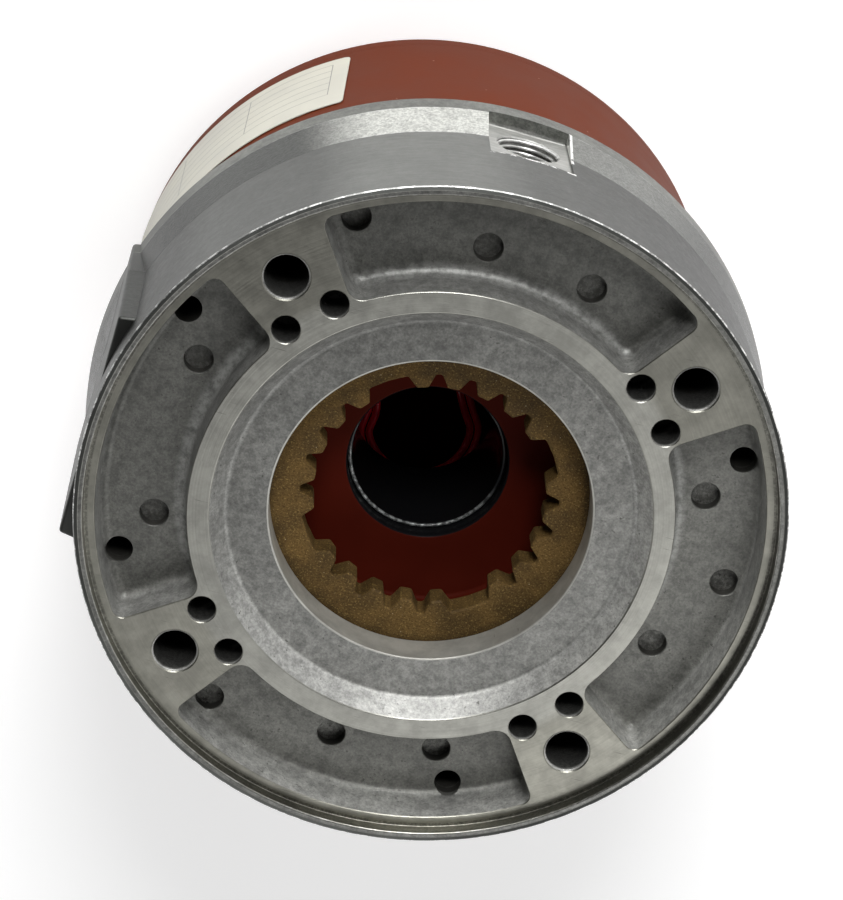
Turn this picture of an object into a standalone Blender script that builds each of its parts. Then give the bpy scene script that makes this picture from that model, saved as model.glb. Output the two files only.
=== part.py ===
# Spring applied brake with a C-face mounting flange, standing on its rear cover.
# The brake axis is +Z. The origin is the centre of the rear cover's outer face.
# Depths are measured down from the mounting pads, which lie at z = BODY_LENGTH.

import math

import bmesh
import bpy
from mathutils import Matrix, Vector

MM = 0.001

# How finely round things are divided
ROUND_STEPS = 60
HIDDEN_STEPS = 30
HOLE_STEPS = 12
ARC_STEPS = 3

# Clearances, and how far cutters and joined bosses reach past a face
REST_GAP = 0.3 * MM
SCREW_CLEARANCE = 0.35 * MM
CUT_PAST = 2.0 * MM
JOIN_OVERLAP = 3.0 * MM

# Lengths along the axis
BODY_LENGTH = 186.0 * MM
HOUSING_DEPTH = 81.0 * MM
FRICTION_FACE_DEPTH = 20.0 * MM
WEB_BACK_DEPTH = 24.0 * MM

# Mounting face
PILOT_RADIUS = 107.95 * MM
LIP_HEIGHT = 4.5 * MM
LIP_WALL = 3.0 * MM
LIP_CHAMFER = 0.6 * MM
BOLT_INSET = 15.875 * MM
BOLT_HOLE_RADIUS = 6.9 * MM
BOLT_CHAMFER = 0.9 * MM
BOLT_COUNT = 4
BOLT_START_ANGLE = math.radians(45.0)
PAIR_OFFSET = 1.8 * MM
PAIR_HOLE_RADIUS = 4.65 * MM
PAIR_HALF_ANGLE = math.radians(6.22)
PAD_HALF_ANGLE = math.radians(10.0)

# Cast pockets between the pads
LAND_WIDTH = 3.45 * MM
POCKET_WIDTH = 28.4 * MM
POCKET_DEPTH = 14.0 * MM
POCKET_FILLET = 2.5 * MM
POCKET_INNER_CORNER = 5.0 * MM
POCKET_OUTER_CORNER = 3.4 * MM
BLIND_HOLE_RADIUS = 4.7 * MM
BLIND_HOLE_DEPTH = 4.5 * MM
BLIND_OFFSET = 10.9 * MM
BLIND_INNER_ANGLES = [math.radians(a) for a in (-95, -72, -18, 18, 72, 95, 162, 198)]
BLIND_OUTER_INSET = 6.5 * MM
BLIND_OUTER_ANGLES = [math.radians(a) for a in (0, 120, 240)]
HOUSING_SCREW_INSET = 5.0 * MM
HOUSING_SCREW_ANGLES = [math.radians(a) for a in (25, 155, 205, 290)]

# Recess and bore inside the machined ring
RING_WIDTH = 6.8 * MM
RECESS_DEPTH = 7.0 * MM
RECESS_BEVEL_WIDTH = 5.0 * MM
RECESS_FLOOR_WIDTH = 13.5 * MM
BORE_CHAMFER = 0.5 * MM

# Outside of the casting
WAIST_TAPER = 0.5 * MM
FLARE_START_DEPTH = 53.0 * MM
FLARE_LENGTH = 18.0 * MM
FLARE_HEIGHT = 2.6 * MM
BACK_RIM_HEIGHT = 2.9 * MM
BACK_RIM_CHAMFER = 1.2 * MM
CAVITY_WALL = 7.4 * MM
CAVITY_FILLET = 4.0 * MM
RABBET_DEPTH = 3.0 * MM
RABBET_WALL = 8.25 * MM
COLUMN_RADIUS = 8.0 * MM
SIDE_BOSS_INSET = 0.35 * MM
SIDE_BOSS_LOW_WIDTH = 40.0 * MM
SIDE_BOSS_HIGH_WIDTH = 35.0 * MM
SIDE_BOSS_START_DEPTH = 10.0 * MM
CONDUIT_FLAT_INSET = 2.45 * MM
CONDUIT_FLAT_HALF_WIDTH = 13.6 * MM
CONDUIT_FLAT_START_DEPTH = 37.0 * MM
CONDUIT_FLAT_LENGTH = 35.0 * MM
CONDUIT_HOLE_DEPTH = 57.0 * MM
CONDUIT_HOLE_RADIUS = 9.2 * MM
CONDUIT_CHAMFER = 1.2 * MM
CONDUIT_BOSS_RADIUS = 14.5 * MM
CONDUIT_BOSS_LENGTH = 12.0 * MM

# Friction disc
DISC_THICKNESS = 10.0 * MM
DISC_CLEARANCE = 2.3 * MM
DISC_OVERLAP = 15.2 * MM
SPLINE_ROOT_INSET = 9.5 * MM
SPLINE_TOOTH_HEIGHT = 4.3 * MM
SPLINE_PITCHES = 24
SPLINE_TEETH_PER_GROUP = 5
SPLINE_ROOT_HALF = math.radians(6.1)
SPLINE_TIP_HALF = math.radians(2.8)
SPLINE_GAP_ANGLE = math.radians(35.0)

# Armature plate and what guides and pushes it
ARMATURE_THICKNESS = 12.0 * MM
ARMATURE_BORE_INSET = 1.8 * MM
AIR_GAP = 1.2 * MM
PIN_INSET = 6.0 * MM
PIN_RADIUS = 4.5 * MM
PIN_SEAT_LENGTH = 13.0 * MM
PIN_END_LENGTH = 6.0 * MM
PIN_CHAMFER = 0.8 * MM
PIN_RUNNING_CLEARANCE = 0.4 * MM
SPRING_COUNT = 6
SPRING_INSET = 6.5 * MM
SPRING_COIL_RADIUS = 3.4 * MM
SPRING_WIRE_RADIUS = 0.75 * MM
SPRING_TURNS = 4
SPRING_POINTS_PER_TURN = 7
SPRING_POCKET_DEPTH = 20.0 * MM

# Magnet body
OUTER_POLE_WIDTH = 13.0 * MM
POLE_RECESS_DEPTH = 4.2 * MM
SKIRT_WALL = 12.8 * MM
BODY_CHAMFER = 0.6 * MM
BACK_PLATE_DEPTH = 100.0 * MM
SKIRT_FILLET = 4.0 * MM
INNER_POLE_WIDTH = 6.0 * MM
COIL_WIDTH = 12.0 * MM
COIL_GROOVE_DEPTH = 31.0 * MM
POLE_RECESS_WIDTH = 22.8 * MM

# Coil
POTTING_THICKNESS = 2.2 * MM
BOBBIN_WALL = 1.2 * MM

# Sleeve that lines the magnet's bore
SLEEVE_WALL = 1.2 * MM
SLEEVE_SETBACK = 6.0 * MM
SLEEVE_FLANGE = 4.0 * MM
SLEEVE_FLANGE_THICKNESS = 1.6 * MM

# Leads, grommet and terminal block in the rear space
LEAD_RADIUS = 1.3 * MM
LEAD_LOOP_RADIUS = 19.0 * MM
LEAD_LOOP_CENTRE = (2.0 * MM, -12.0 * MM)
LEAD_LOOP_START = math.radians(165.0)
LEAD_LOOP_TURN = math.radians(245.0)
LEAD_LOOP_KNOTS = 7
LEAD_RUN_SHARES = (0.2, 0.6)
LEAD_POINTS = 40
LEAD_HOLE_ANGLE = math.radians(150.0)
LEAD_END_DEPTH_IN = 5.0 * MM
GROMMET_CLEARANCE = 0.25 * MM
GROMMET_WALL = 0.9 * MM
GROMMET_FLANGE = 1.8 * MM
GROMMET_DEPTH_IN = 3.0 * MM
GROMMET_FLANGE_THICKNESS = 1.5 * MM
TERMINAL_ANGLE = math.radians(100.0)
TERMINAL_INSET = 26.0 * MM
TERMINAL_WIDTH = 16.0 * MM
TERMINAL_EAR = 8.0 * MM
TERMINAL_END_WALL = 1.0 * MM
TERMINAL_HEIGHT = 15.0 * MM
TERMINAL_FOOT = 6.0 * MM
TERMINAL_PITCH = 12.0 * MM
TERMINAL_ENTRY_DEPTH = 8.5 * MM
TERMINAL_SCREW_OFFSET = 2.0 * MM
SMALL_SHANK = 1.5 * MM
SMALL_HEAD = 2.9 * MM
SMALL_HEAD_HEIGHT = 2.0 * MM
SMALL_SLOT = 0.8 * MM
FIXING_SCREW_LENGTH = 12.0 * MM
TERMINAL_SCREW_LENGTH = 4.0 * MM

# Rear cover and its gasket
GASKET_THICKNESS = 1.0 * MM
COVER_THICKNESS = 6.9 * MM
COVER_EDGE = 1.2 * MM
COVER_SCREW_COUNT = 6
COVER_SCREW_START = math.radians(30.0)

# Socket head screws: shank radius, head radius, head height, socket across flats
M5_SHANK = 2.5 * MM
M5_HEAD = 4.15 * MM
M5_HEAD_HEIGHT = 5.0 * MM
M5_SOCKET = 4.0 * MM
SOCKET_DEPTH_SHARE = 0.55
HOUSING_SCREW_LENGTH = 30.0 * MM
HOUSING_SCREW_GRIP = 14.0 * MM
COVER_HEAD_HEIGHT = 3.0 * MM
COVER_SCREW_LENGTH = 16.0 * MM
COVER_HEAD_SINK = 0.5 * MM

# Nameplate label
LABEL_START = math.radians(120.0)
LABEL_SPAN = math.radians(58.0)
LABEL_TOP_DEPTH = 117.0 * MM
LABEL_HEIGHT = 54.0 * MM
LABEL_LEAN = math.radians(3.0)
LABEL_THICKNESS = 0.3 * MM
LABEL_CORNER = 2.5 * MM

# Values that follow from the ones above
BOLT_CIRCLE_RADIUS = PILOT_RADIUS - BOLT_INSET
POCKET_OUTER_RADIUS = PILOT_RADIUS - LAND_WIDTH
POCKET_INNER_RADIUS = POCKET_OUTER_RADIUS - POCKET_WIDTH
RING_INNER_RADIUS = POCKET_INNER_RADIUS - RING_WIDTH
RECESS_FLOOR_RADIUS = RING_INNER_RADIUS - RECESS_BEVEL_WIDTH
BORE_RADIUS = RECESS_FLOOR_RADIUS - RECESS_FLOOR_WIDTH
PAIR_CIRCLE_RADIUS = POCKET_INNER_RADIUS + PAIR_OFFSET
BLIND_INNER_CIRCLE = POCKET_INNER_RADIUS + BLIND_OFFSET
BLIND_OUTER_CIRCLE = POCKET_OUTER_RADIUS - BLIND_OUTER_INSET
HOUSING_SCREW_CIRCLE = POCKET_OUTER_RADIUS - HOUSING_SCREW_INSET
DISC_RADIUS = BORE_RADIUS + DISC_OVERLAP
SPLINE_ROOT_RADIUS = BORE_RADIUS - SPLINE_ROOT_INSET
SPLINE_TIP_RADIUS = SPLINE_ROOT_RADIUS - SPLINE_TOOTH_HEIGHT
ARMATURE_BORE_RADIUS = BORE_RADIUS - ARMATURE_BORE_INSET
MAGNET_BORE_RADIUS = ARMATURE_BORE_RADIUS - POLE_RECESS_WIDTH
COIL_INNER_RADIUS = ARMATURE_BORE_RADIUS + INNER_POLE_WIDTH
COIL_OUTER_RADIUS = COIL_INNER_RADIUS + COIL_WIDTH
POLE_FACE_RADIUS = COIL_OUTER_RADIUS + OUTER_POLE_WIDTH
PIN_CIRCLE_RADIUS = POLE_FACE_RADIUS - PIN_INSET
SPRING_CIRCLE_RADIUS = POLE_FACE_RADIUS - SPRING_INSET
RIM_RADIUS = PILOT_RADIUS + LIP_WALL
WAIST_RADIUS = RIM_RADIUS - WAIST_TAPER
FLARE_RADIUS = WAIST_RADIUS + FLARE_HEIGHT
BACK_RIM_RADIUS = WAIST_RADIUS + BACK_RIM_HEIGHT
CAVITY_RADIUS = WAIST_RADIUS - CAVITY_WALL
RABBET_RADIUS = BACK_RIM_RADIUS - RABBET_WALL
BODY_RADIUS = RABBET_RADIUS - REST_GAP
SIDE_BOSS_REACH = WAIST_RADIUS - SIDE_BOSS_INSET
CONDUIT_FLAT_REACH = WAIST_RADIUS - CONDUIT_FLAT_INSET
RABBET_FLOOR_DEPTH = HOUSING_DEPTH - RABBET_DEPTH
FRICTION_POCKET_RADIUS = DISC_RADIUS + DISC_CLEARANCE
DISC_DEPTH = FRICTION_FACE_DEPTH + REST_GAP
ARMATURE_DEPTH = DISC_DEPTH + DISC_THICKNESS + REST_GAP
ARMATURE_BACK_DEPTH = ARMATURE_DEPTH + ARMATURE_THICKNESS
POLE_FACE_DEPTH = ARMATURE_BACK_DEPTH + AIR_GAP
POLE_RECESS_FLOOR = POLE_FACE_DEPTH + POLE_RECESS_DEPTH
ARMATURE_RADIUS = POLE_FACE_RADIUS
SPRING_POCKET_RADIUS = SPRING_COIL_RADIUS + SPRING_WIRE_RADIUS + REST_GAP
SPRING_POCKET_FLOOR = POLE_FACE_DEPTH + SPRING_POCKET_DEPTH
BODY_SHOULDER_DEPTH = RABBET_FLOOR_DEPTH + REST_GAP
GROOVE_FLOOR_DEPTH = POLE_FACE_DEPTH + COIL_GROOVE_DEPTH
SKIRT_RADIUS = BODY_RADIUS - SKIRT_WALL
COVER_SCREW_CIRCLE = (BODY_RADIUS + SKIRT_RADIUS) / 2
TERMINAL_RADIUS = SKIRT_RADIUS - TERMINAL_INSET
TERMINAL_BODY_LENGTH = 2 * (TERMINAL_PITCH + TERMINAL_END_WALL)
TERMINAL_LENGTH = TERMINAL_BODY_LENGTH + 2 * TERMINAL_EAR
TERMINAL_FIXING_PITCH = TERMINAL_BODY_LENGTH + TERMINAL_EAR
COVER_FRONT_DEPTH = BODY_LENGTH - COVER_THICKNESS
GASKET_DEPTH = COVER_FRONT_DEPTH - REST_GAP - GASKET_THICKNESS
SKIRT_END_DEPTH = GASKET_DEPTH - REST_GAP
SCREW_HOLE_RADIUS = M5_SHANK + SCREW_CLEARANCE
HEAD_HOLE_RADIUS = M5_HEAD + REST_GAP
HOUSING_SEAT_DEPTH = RABBET_FLOOR_DEPTH - HOUSING_SCREW_GRIP
COVER_HEAD_DEPTH = BODY_LENGTH - COVER_HEAD_SINK
LEAD_SIDE_STEP = LEAD_RADIUS + REST_GAP / 2
LEAD_HOLE_CIRCLE = (COIL_INNER_RADIUS + COIL_OUTER_RADIUS) / 2
GROMMET_BORE = LEAD_SIDE_STEP + LEAD_RADIUS + GROMMET_CLEARANCE
LEAD_HOLE_RADIUS = GROMMET_BORE + GROMMET_WALL + REST_GAP
REAR_SEAT_DEPTH = BACK_PLATE_DEPTH + REST_GAP
LEAD_LOOP_DEPTH = REAR_SEAT_DEPTH + TERMINAL_ENTRY_DEPTH
SMALL_HOLE = SMALL_SHANK + SCREW_CLEARANCE


def height(depth):
    """Height above the rear face of a point at this depth below the pads."""
    return BODY_LENGTH - depth


def polar(radius, angle):
    return radius * math.cos(angle), radius * math.sin(angle)


def evenly(count, start=0.0):
    return [start + 2 * math.pi * i / count for i in range(count)]


# Scene and materials


def clear_scene():
    for obj in list(bpy.data.objects):
        bpy.data.objects.remove(obj, do_unlink=True)


def new_collection(name):
    collection = bpy.data.collections.new(name)
    bpy.context.scene.collection.children.link(collection)
    return collection


def new_material(name, color, roughness, metallic):
    material = bpy.data.materials.new(name)
    material.use_nodes = True
    shader = material.node_tree.nodes["Principled BSDF"]
    shader.inputs["Base Color"].default_value = (*color, 1.0)
    shader.inputs["Roughness"].default_value = roughness
    shader.inputs["Metallic"].default_value = metallic
    material.diffuse_color = (*color, 1.0)
    return material


clear_scene()
BRAKE = new_collection("spring_applied_brake")
CUTTERS = new_collection("cutters")

CAST_ALUMINIUM = new_material("cast_aluminium", (0.42, 0.43, 0.43), 0.45, 1.0)
RED_PAINT = new_material("red_paint", (0.21, 0.052, 0.03), 0.35, 0.0)
FRICTION = new_material("friction_lining", (0.25, 0.16, 0.08), 0.85, 0.0)
STEEL = new_material("ground_steel", (0.5, 0.5, 0.5), 0.3, 1.0)
SPRING_STEEL = new_material("spring_steel", (0.35, 0.36, 0.38), 0.3, 1.0)
BLACK_STEEL = new_material("black_oxide_steel", (0.03, 0.03, 0.032), 0.4, 1.0)
COPPER = new_material("copper_wire", (0.7, 0.32, 0.17), 0.35, 1.0)
BLACK_PLASTIC = new_material("black_plastic", (0.015, 0.015, 0.017), 0.3, 0.0)
RUBBER = new_material("black_rubber", (0.02, 0.02, 0.02), 0.8, 0.0)
RED_LEAD = new_material("red_lead_insulation", (0.45, 0.01, 0.02), 0.4, 0.0)
LABEL_WHITE = new_material("label_white", (0.78, 0.77, 0.7), 0.5, 0.0)


# Modelling helpers


def place(obj, material, collection=BRAKE):
    """Put a new object in its collection only, with its material."""
    for other in list(obj.users_collection):
        other.objects.unlink(obj)
    collection.objects.link(obj)
    if material and obj.data and not obj.data.materials:
        obj.data.materials.append(material)
    return obj


def hide_cutter(obj):
    obj.hide_render = True
    obj.display_type = "WIRE"
    return place(obj, None, CUTTERS)


def smooth(mesh, angle=math.radians(35)):
    mesh.shade_smooth()
    mesh.set_sharp_from_angle(angle=angle)


def turned(name, profile, material, steps=ROUND_STEPS, collection=BRAKE):
    """A closed profile of (radius, depth) turned about the brake axis.

    It runs outward along the front, down the outer side, inward along the back.
    A profile that starts and ends on the axis is left open there."""
    mesh = bpy.data.meshes.new(name)
    points = [(radius, 0.0, height(depth)) for radius, depth in profile]
    edges = [(i, i + 1) for i in range(len(points) - 1)]
    if profile[0][0] > 0.0:
        edges.append((len(points) - 1, 0))
    mesh.from_pydata(points, edges, [])
    obj = bpy.data.objects.new(name, mesh)
    place(obj, material, collection)
    screw = obj.modifiers.new("turn", "SCREW")
    screw.axis = "Z"
    screw.angle = 2 * math.pi
    screw.steps = steps
    screw.render_steps = steps
    screw.use_merge_vertices = True
    screw.merge_threshold = 0.00001
    screw.use_smooth_shade = True
    return obj


def as_mesh(obj, material, collection=BRAKE):
    """Replace an object by the mesh it evaluates to, with loose caps welded."""
    depsgraph = bpy.context.evaluated_depsgraph_get()
    mesh = bpy.data.meshes.new_from_object(obj.evaluated_get(depsgraph))
    bm = bmesh.new()
    bm.from_mesh(mesh)
    bmesh.ops.remove_doubles(bm, verts=bm.verts, dist=0.000002)
    bmesh.ops.dissolve_degenerate(bm, edges=bm.edges, dist=0.000002)
    bm.to_mesh(mesh)
    bm.free()
    name = obj.name
    matrix = obj.matrix_world.copy()
    bpy.data.objects.remove(obj, do_unlink=True)
    solid = bpy.data.objects.new(name, mesh)
    solid.matrix_world = matrix
    return place(solid, material, collection)


def flat_plate(name, outlines, depth_top, depth_bottom, fillet=0.0):
    """A plate cut to closed outlines of (x, y), as a filled 2D curve."""
    curve = bpy.data.curves.new(name, "CURVE")
    curve.dimensions = "2D"
    curve.fill_mode = "BOTH"
    curve.extrude = (depth_bottom - depth_top) / 2 - fillet
    curve.bevel_depth = fillet
    curve.bevel_resolution = 1
    curve.offset = -fillet
    for outline in outlines:
        spline = curve.splines.new("POLY")
        spline.points.add(len(outline) - 1)
        for point, (x, y) in zip(spline.points, outline):
            point.co = (x, y, 0.0, 1.0)
        spline.use_cyclic_u = True
    obj = bpy.data.objects.new(name, curve)
    obj.location.z = height((depth_top + depth_bottom) / 2)
    return obj


def circle_outline(radius, steps=ROUND_STEPS):
    return [polar(radius, angle) for angle in evenly(steps)]


def add_cylinder(bm, matrix, radius, low, high, segments, mouth=0.0):
    """A cylinder along its own Z axis; a mouth widens its high end by a 45 degree cone."""
    verts = bmesh.ops.create_cone(
        bm, cap_ends=True, segments=segments, radius1=radius, radius2=radius, depth=high - low,
        matrix=Matrix.Translation((0.0, 0.0, (low + high) / 2)))["verts"]
    if mouth > 0.0:
        cap = max({face for vert in verts for face in vert.link_faces},
                  key=lambda face: face.calc_center_median().z)
        grown = bmesh.ops.extrude_face_region(bm, geom=[cap])["geom"]
        rim = [item for item in grown if isinstance(item, bmesh.types.BMVert)]
        wider = (radius + mouth) / radius
        bmesh.ops.scale(bm, verts=rim, vec=(wider, wider, 1.0))
        bmesh.ops.translate(bm, verts=rim, vec=(0.0, 0.0, mouth))
        bmesh.ops.delete(bm, geom=[cap], context="FACES_ONLY")
        verts = list(verts) + rim
    bmesh.ops.transform(bm, matrix=matrix, verts=verts)


def mesh_object(name, bm):
    mesh = bpy.data.meshes.new(name)
    bm.to_mesh(mesh)
    bm.free()
    return bpy.data.objects.new(name, mesh)


def drill_set(name, drills):
    """Upright drills as one cutter: x, y, top depth, bottom depth, radius and any mouth."""
    bm = bmesh.new()
    for x, y, top, bottom, radius, *mouth in drills:
        add_cylinder(bm, Matrix.Translation((x, y, 0.0)), radius, height(bottom), height(top),
                     HOLE_STEPS, *mouth)
    return hide_cutter(mesh_object(name, bm))


def block(name, low, high):
    """A box between two corners."""
    size = [b - a for a, b in zip(low, high)]
    middle = [(a + b) / 2 for a, b in zip(low, high)]
    bm = bmesh.new()
    bmesh.ops.create_cube(bm, size=1.0)
    bmesh.ops.scale(bm, verts=bm.verts, vec=size)
    bmesh.ops.translate(bm, verts=bm.verts, vec=middle)
    return mesh_object(name, bm)


def side_cylinder(name, radius, y_low, y_high, depth, mouth=0.0):
    """A cylinder along +Y at this depth, such as the conduit entry."""
    bm = bmesh.new()
    lay_down = Matrix.Translation((0.0, 0.0, height(depth))) @ Matrix.Rotation(-math.pi / 2, 4, "X")
    add_cylinder(bm, lay_down, radius, y_low, y_high, 2 * HOLE_STEPS, mouth)
    return mesh_object(name, bm)


def cross_cylinder(name, radius, x_low, x_high, y, depth):
    """A cylinder along +X."""
    bm = bmesh.new()
    lay_down = Matrix.Translation((0.0, y, height(depth))) @ Matrix.Rotation(math.pi / 2, 4, "Y")
    add_cylinder(bm, lay_down, radius, x_low, x_high, HOLE_STEPS)
    return mesh_object(name, bm)


def combine(target, tool, operation="DIFFERENCE"):
    modifier = target.modifiers.new(tool.name, "BOOLEAN")
    modifier.object = tool
    modifier.operation = operation
    modifier.solver = "EXACT"
    return target


def tube_along(name, points, radius, material):
    """A round wire through a list of points."""
    curve = bpy.data.curves.new(name, "CURVE")
    curve.dimensions = "3D"
    curve.bevel_depth = radius
    curve.bevel_resolution = 2
    curve.use_fill_caps = True
    spline = curve.splines.new("POLY")
    spline.points.add(len(points) - 1)
    for point, place_at in zip(spline.points, points):
        point.co = (*place_at, 1.0)
    return place(bpy.data.objects.new(name, curve), material)


# Flange housing


def pocket_outline(middle_angle):
    """A ring sector between two pads, with rounded corners."""
    half = math.pi / BOLT_COUNT - PAD_HALF_ANGLE
    inner, outer = POCKET_INNER_RADIUS, POCKET_OUTER_RADIUS
    outer_centre = outer - POCKET_OUTER_CORNER
    inner_centre = inner + POCKET_INNER_CORNER
    outer_turn = math.asin(POCKET_OUTER_CORNER / outer_centre)
    inner_turn = math.asin(POCKET_INNER_CORNER / inner_centre)
    right, left = middle_angle - half, middle_angle + half
    points = []

    def arc(centre, radius, start, stop, steps):
        for i in range(steps + 1):
            angle = start + (stop - start) * i / steps
            dx, dy = polar(radius, angle)
            points.append((centre[0] + dx, centre[1] + dy))

    arc(polar(outer_centre, right + outer_turn), POCKET_OUTER_CORNER,
        right - math.pi / 2, right + outer_turn, ARC_STEPS)
    arc((0, 0), outer, right + 2 * outer_turn, left - 2 * outer_turn, 3 * ARC_STEPS)
    arc(polar(outer_centre, left - outer_turn), POCKET_OUTER_CORNER,
        left - outer_turn, left + math.pi / 2, ARC_STEPS)
    arc(polar(inner_centre, left - inner_turn), POCKET_INNER_CORNER,
        left + math.pi / 2, left - inner_turn + math.pi, ARC_STEPS)
    arc((0, 0), inner, left - 2 * inner_turn, right + 2 * inner_turn, 3 * ARC_STEPS)
    arc(polar(inner_centre, right + inner_turn), POCKET_INNER_CORNER,
        right + inner_turn + math.pi, right + 3 * math.pi / 2, ARC_STEPS)
    return points


def flange_profile():
    rim_front = -LIP_HEIGHT
    flare_end = FLARE_START_DEPTH + FLARE_LENGTH
    return [
        (BORE_RADIUS + BORE_CHAMFER, RECESS_DEPTH),
        (RECESS_FLOOR_RADIUS, RECESS_DEPTH),
        (RING_INNER_RADIUS, 0.0),
        (PILOT_RADIUS, 0.0),
        (PILOT_RADIUS, rim_front + LIP_CHAMFER),
        (PILOT_RADIUS + LIP_CHAMFER, rim_front),
        (RIM_RADIUS - LIP_CHAMFER, rim_front),
        (RIM_RADIUS, rim_front + LIP_CHAMFER),
        (WAIST_RADIUS, FLARE_START_DEPTH),
        (FLARE_RADIUS, flare_end),
        (BACK_RIM_RADIUS, HOUSING_DEPTH - BACK_RIM_CHAMFER),
        (BACK_RIM_RADIUS - BACK_RIM_CHAMFER / 2, HOUSING_DEPTH),
        (RABBET_RADIUS, HOUSING_DEPTH),
        (RABBET_RADIUS, RABBET_FLOOR_DEPTH),
        (CAVITY_RADIUS, RABBET_FLOOR_DEPTH),
        (CAVITY_RADIUS, WEB_BACK_DEPTH + CAVITY_FILLET),
        (CAVITY_RADIUS - CAVITY_FILLET, WEB_BACK_DEPTH),
        (FRICTION_POCKET_RADIUS, WEB_BACK_DEPTH),
        (FRICTION_POCKET_RADIUS, FRICTION_FACE_DEPTH),
        (BORE_RADIUS, FRICTION_FACE_DEPTH),
        (BORE_RADIUS, RECESS_DEPTH + BORE_CHAMFER),
    ]


def make_flange_housing():
    flange = turned("flange_housing", flange_profile(), CAST_ALUMINIUM)

    columns = drill_set("screw_columns", [
        (*polar(HOUSING_SCREW_CIRCLE, angle), WEB_BACK_DEPTH - JOIN_OVERLAP, RABBET_FLOOR_DEPTH,
         COLUMN_RADIUS) for angle in HOUSING_SCREW_ANGLES])
    combine(flange, columns, "UNION")

    boss_end = HOUSING_DEPTH - BACK_RIM_CHAMFER
    side = block("side_boss", (-SIDE_BOSS_REACH, -SIDE_BOSS_LOW_WIDTH, height(boss_end)),
                 (0.0, SIDE_BOSS_HIGH_WIDTH, height(SIDE_BOSS_START_DEPTH)))
    wall_middle = WAIST_RADIUS - CAVITY_WALL / 2
    hollow_top = SIDE_BOSS_START_DEPTH - JOIN_OVERLAP
    hollow = turned("side_boss_hollow", [
        (0.0, hollow_top), (wall_middle, hollow_top), (wall_middle, HOUSING_DEPTH + JOIN_OVERLAP),
        (0.0, HOUSING_DEPTH + JOIN_OVERLAP)], None, collection=CUTTERS)
    hide_cutter(side)
    hide_cutter(hollow)
    combine(side, hollow)
    combine(flange, side, "UNION")

    boss_inner = CAVITY_RADIUS - CONDUIT_BOSS_LENGTH
    boss = side_cylinder("conduit_boss", CONDUIT_BOSS_RADIUS, boss_inner,
                         CAVITY_RADIUS + JOIN_OVERLAP, CONDUIT_HOLE_DEPTH)
    combine(flange, hide_cutter(boss), "UNION")

    pockets = [flat_plate("pocket", [pocket_outline(angle)], -3 * POCKET_FILLET, POCKET_DEPTH,
                          POCKET_FILLET) for angle in evenly(BOLT_COUNT)]
    for index, pocket in enumerate(pockets):
        pocket.name = f"pocket_{index + 1}"
        BRAKE.objects.link(pocket)
        cutter = hide_cutter(as_mesh(pocket, None, CUTTERS))
        combine(flange, cutter)

    flat = block("conduit_flat",
                 (-CONDUIT_FLAT_HALF_WIDTH, CONDUIT_FLAT_REACH,
                  height(CONDUIT_FLAT_START_DEPTH + CONDUIT_FLAT_LENGTH)),
                 (CONDUIT_FLAT_HALF_WIDTH, CONDUIT_FLAT_REACH + 2 * CAVITY_WALL,
                  height(CONDUIT_FLAT_START_DEPTH)))
    combine(flange, hide_cutter(flat))
    entry = side_cylinder("conduit_hole", CONDUIT_HOLE_RADIUS, boss_inner - JOIN_OVERLAP,
                          CONDUIT_FLAT_REACH - CONDUIT_CHAMFER, CONDUIT_HOLE_DEPTH,
                          2 * CONDUIT_CHAMFER)
    combine(flange, hide_cutter(entry))

    bolts = evenly(BOLT_COUNT, BOLT_START_ANGLE)
    bolt_places = [polar(BOLT_CIRCLE_RADIUS, angle) for angle in bolts]
    pair_places = [polar(PAIR_CIRCLE_RADIUS, angle + side_of * PAIR_HALF_ANGLE)
                   for angle in bolts for side_of in (-1, 1)]
    blind_places = [polar(BLIND_INNER_CIRCLE, a) for a in BLIND_INNER_ANGLES]
    blind_places += [polar(BLIND_OUTER_CIRCLE, a) for a in BLIND_OUTER_ANGLES]
    screw_places = [polar(HOUSING_SCREW_CIRCLE, a) for a in HOUSING_SCREW_ANGLES]
    pin_places = [polar(PIN_CIRCLE_RADIUS, a) for a in bolts]
    through = WEB_BACK_DEPTH + CAVITY_FILLET + JOIN_OVERLAP

    drills = [(x, y, BOLT_CHAMFER, through, BOLT_HOLE_RADIUS, 2 * BOLT_CHAMFER)
              for x, y in bolt_places]
    drills += [(x, y, -JOIN_OVERLAP, FRICTION_FACE_DEPTH - JOIN_OVERLAP, PAIR_HOLE_RADIUS)
               for x, y in pair_places]
    drills += [(x, y, POCKET_DEPTH - JOIN_OVERLAP, POCKET_DEPTH + BLIND_HOLE_DEPTH, BLIND_HOLE_RADIUS)
               for x, y in blind_places]
    drills += [(x, y, POCKET_DEPTH - JOIN_OVERLAP, HOUSING_SEAT_DEPTH, HEAD_HOLE_RADIUS)
               for x, y in screw_places]
    drills += [(x, y, WEB_BACK_DEPTH - PIN_SEAT_LENGTH - REST_GAP, WEB_BACK_DEPTH + JOIN_OVERLAP,
                PIN_RADIUS + REST_GAP) for x, y in pin_places]
    combine(flange, drill_set("flange_holes", drills))

    combine(flange, drill_set("flange_shank_holes", [
        (x, y, HOUSING_SEAT_DEPTH - JOIN_OVERLAP, HOUSING_DEPTH + JOIN_OVERLAP, SCREW_HOLE_RADIUS)
        for x, y in screw_places]))
    return flange


# Friction disc


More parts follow.
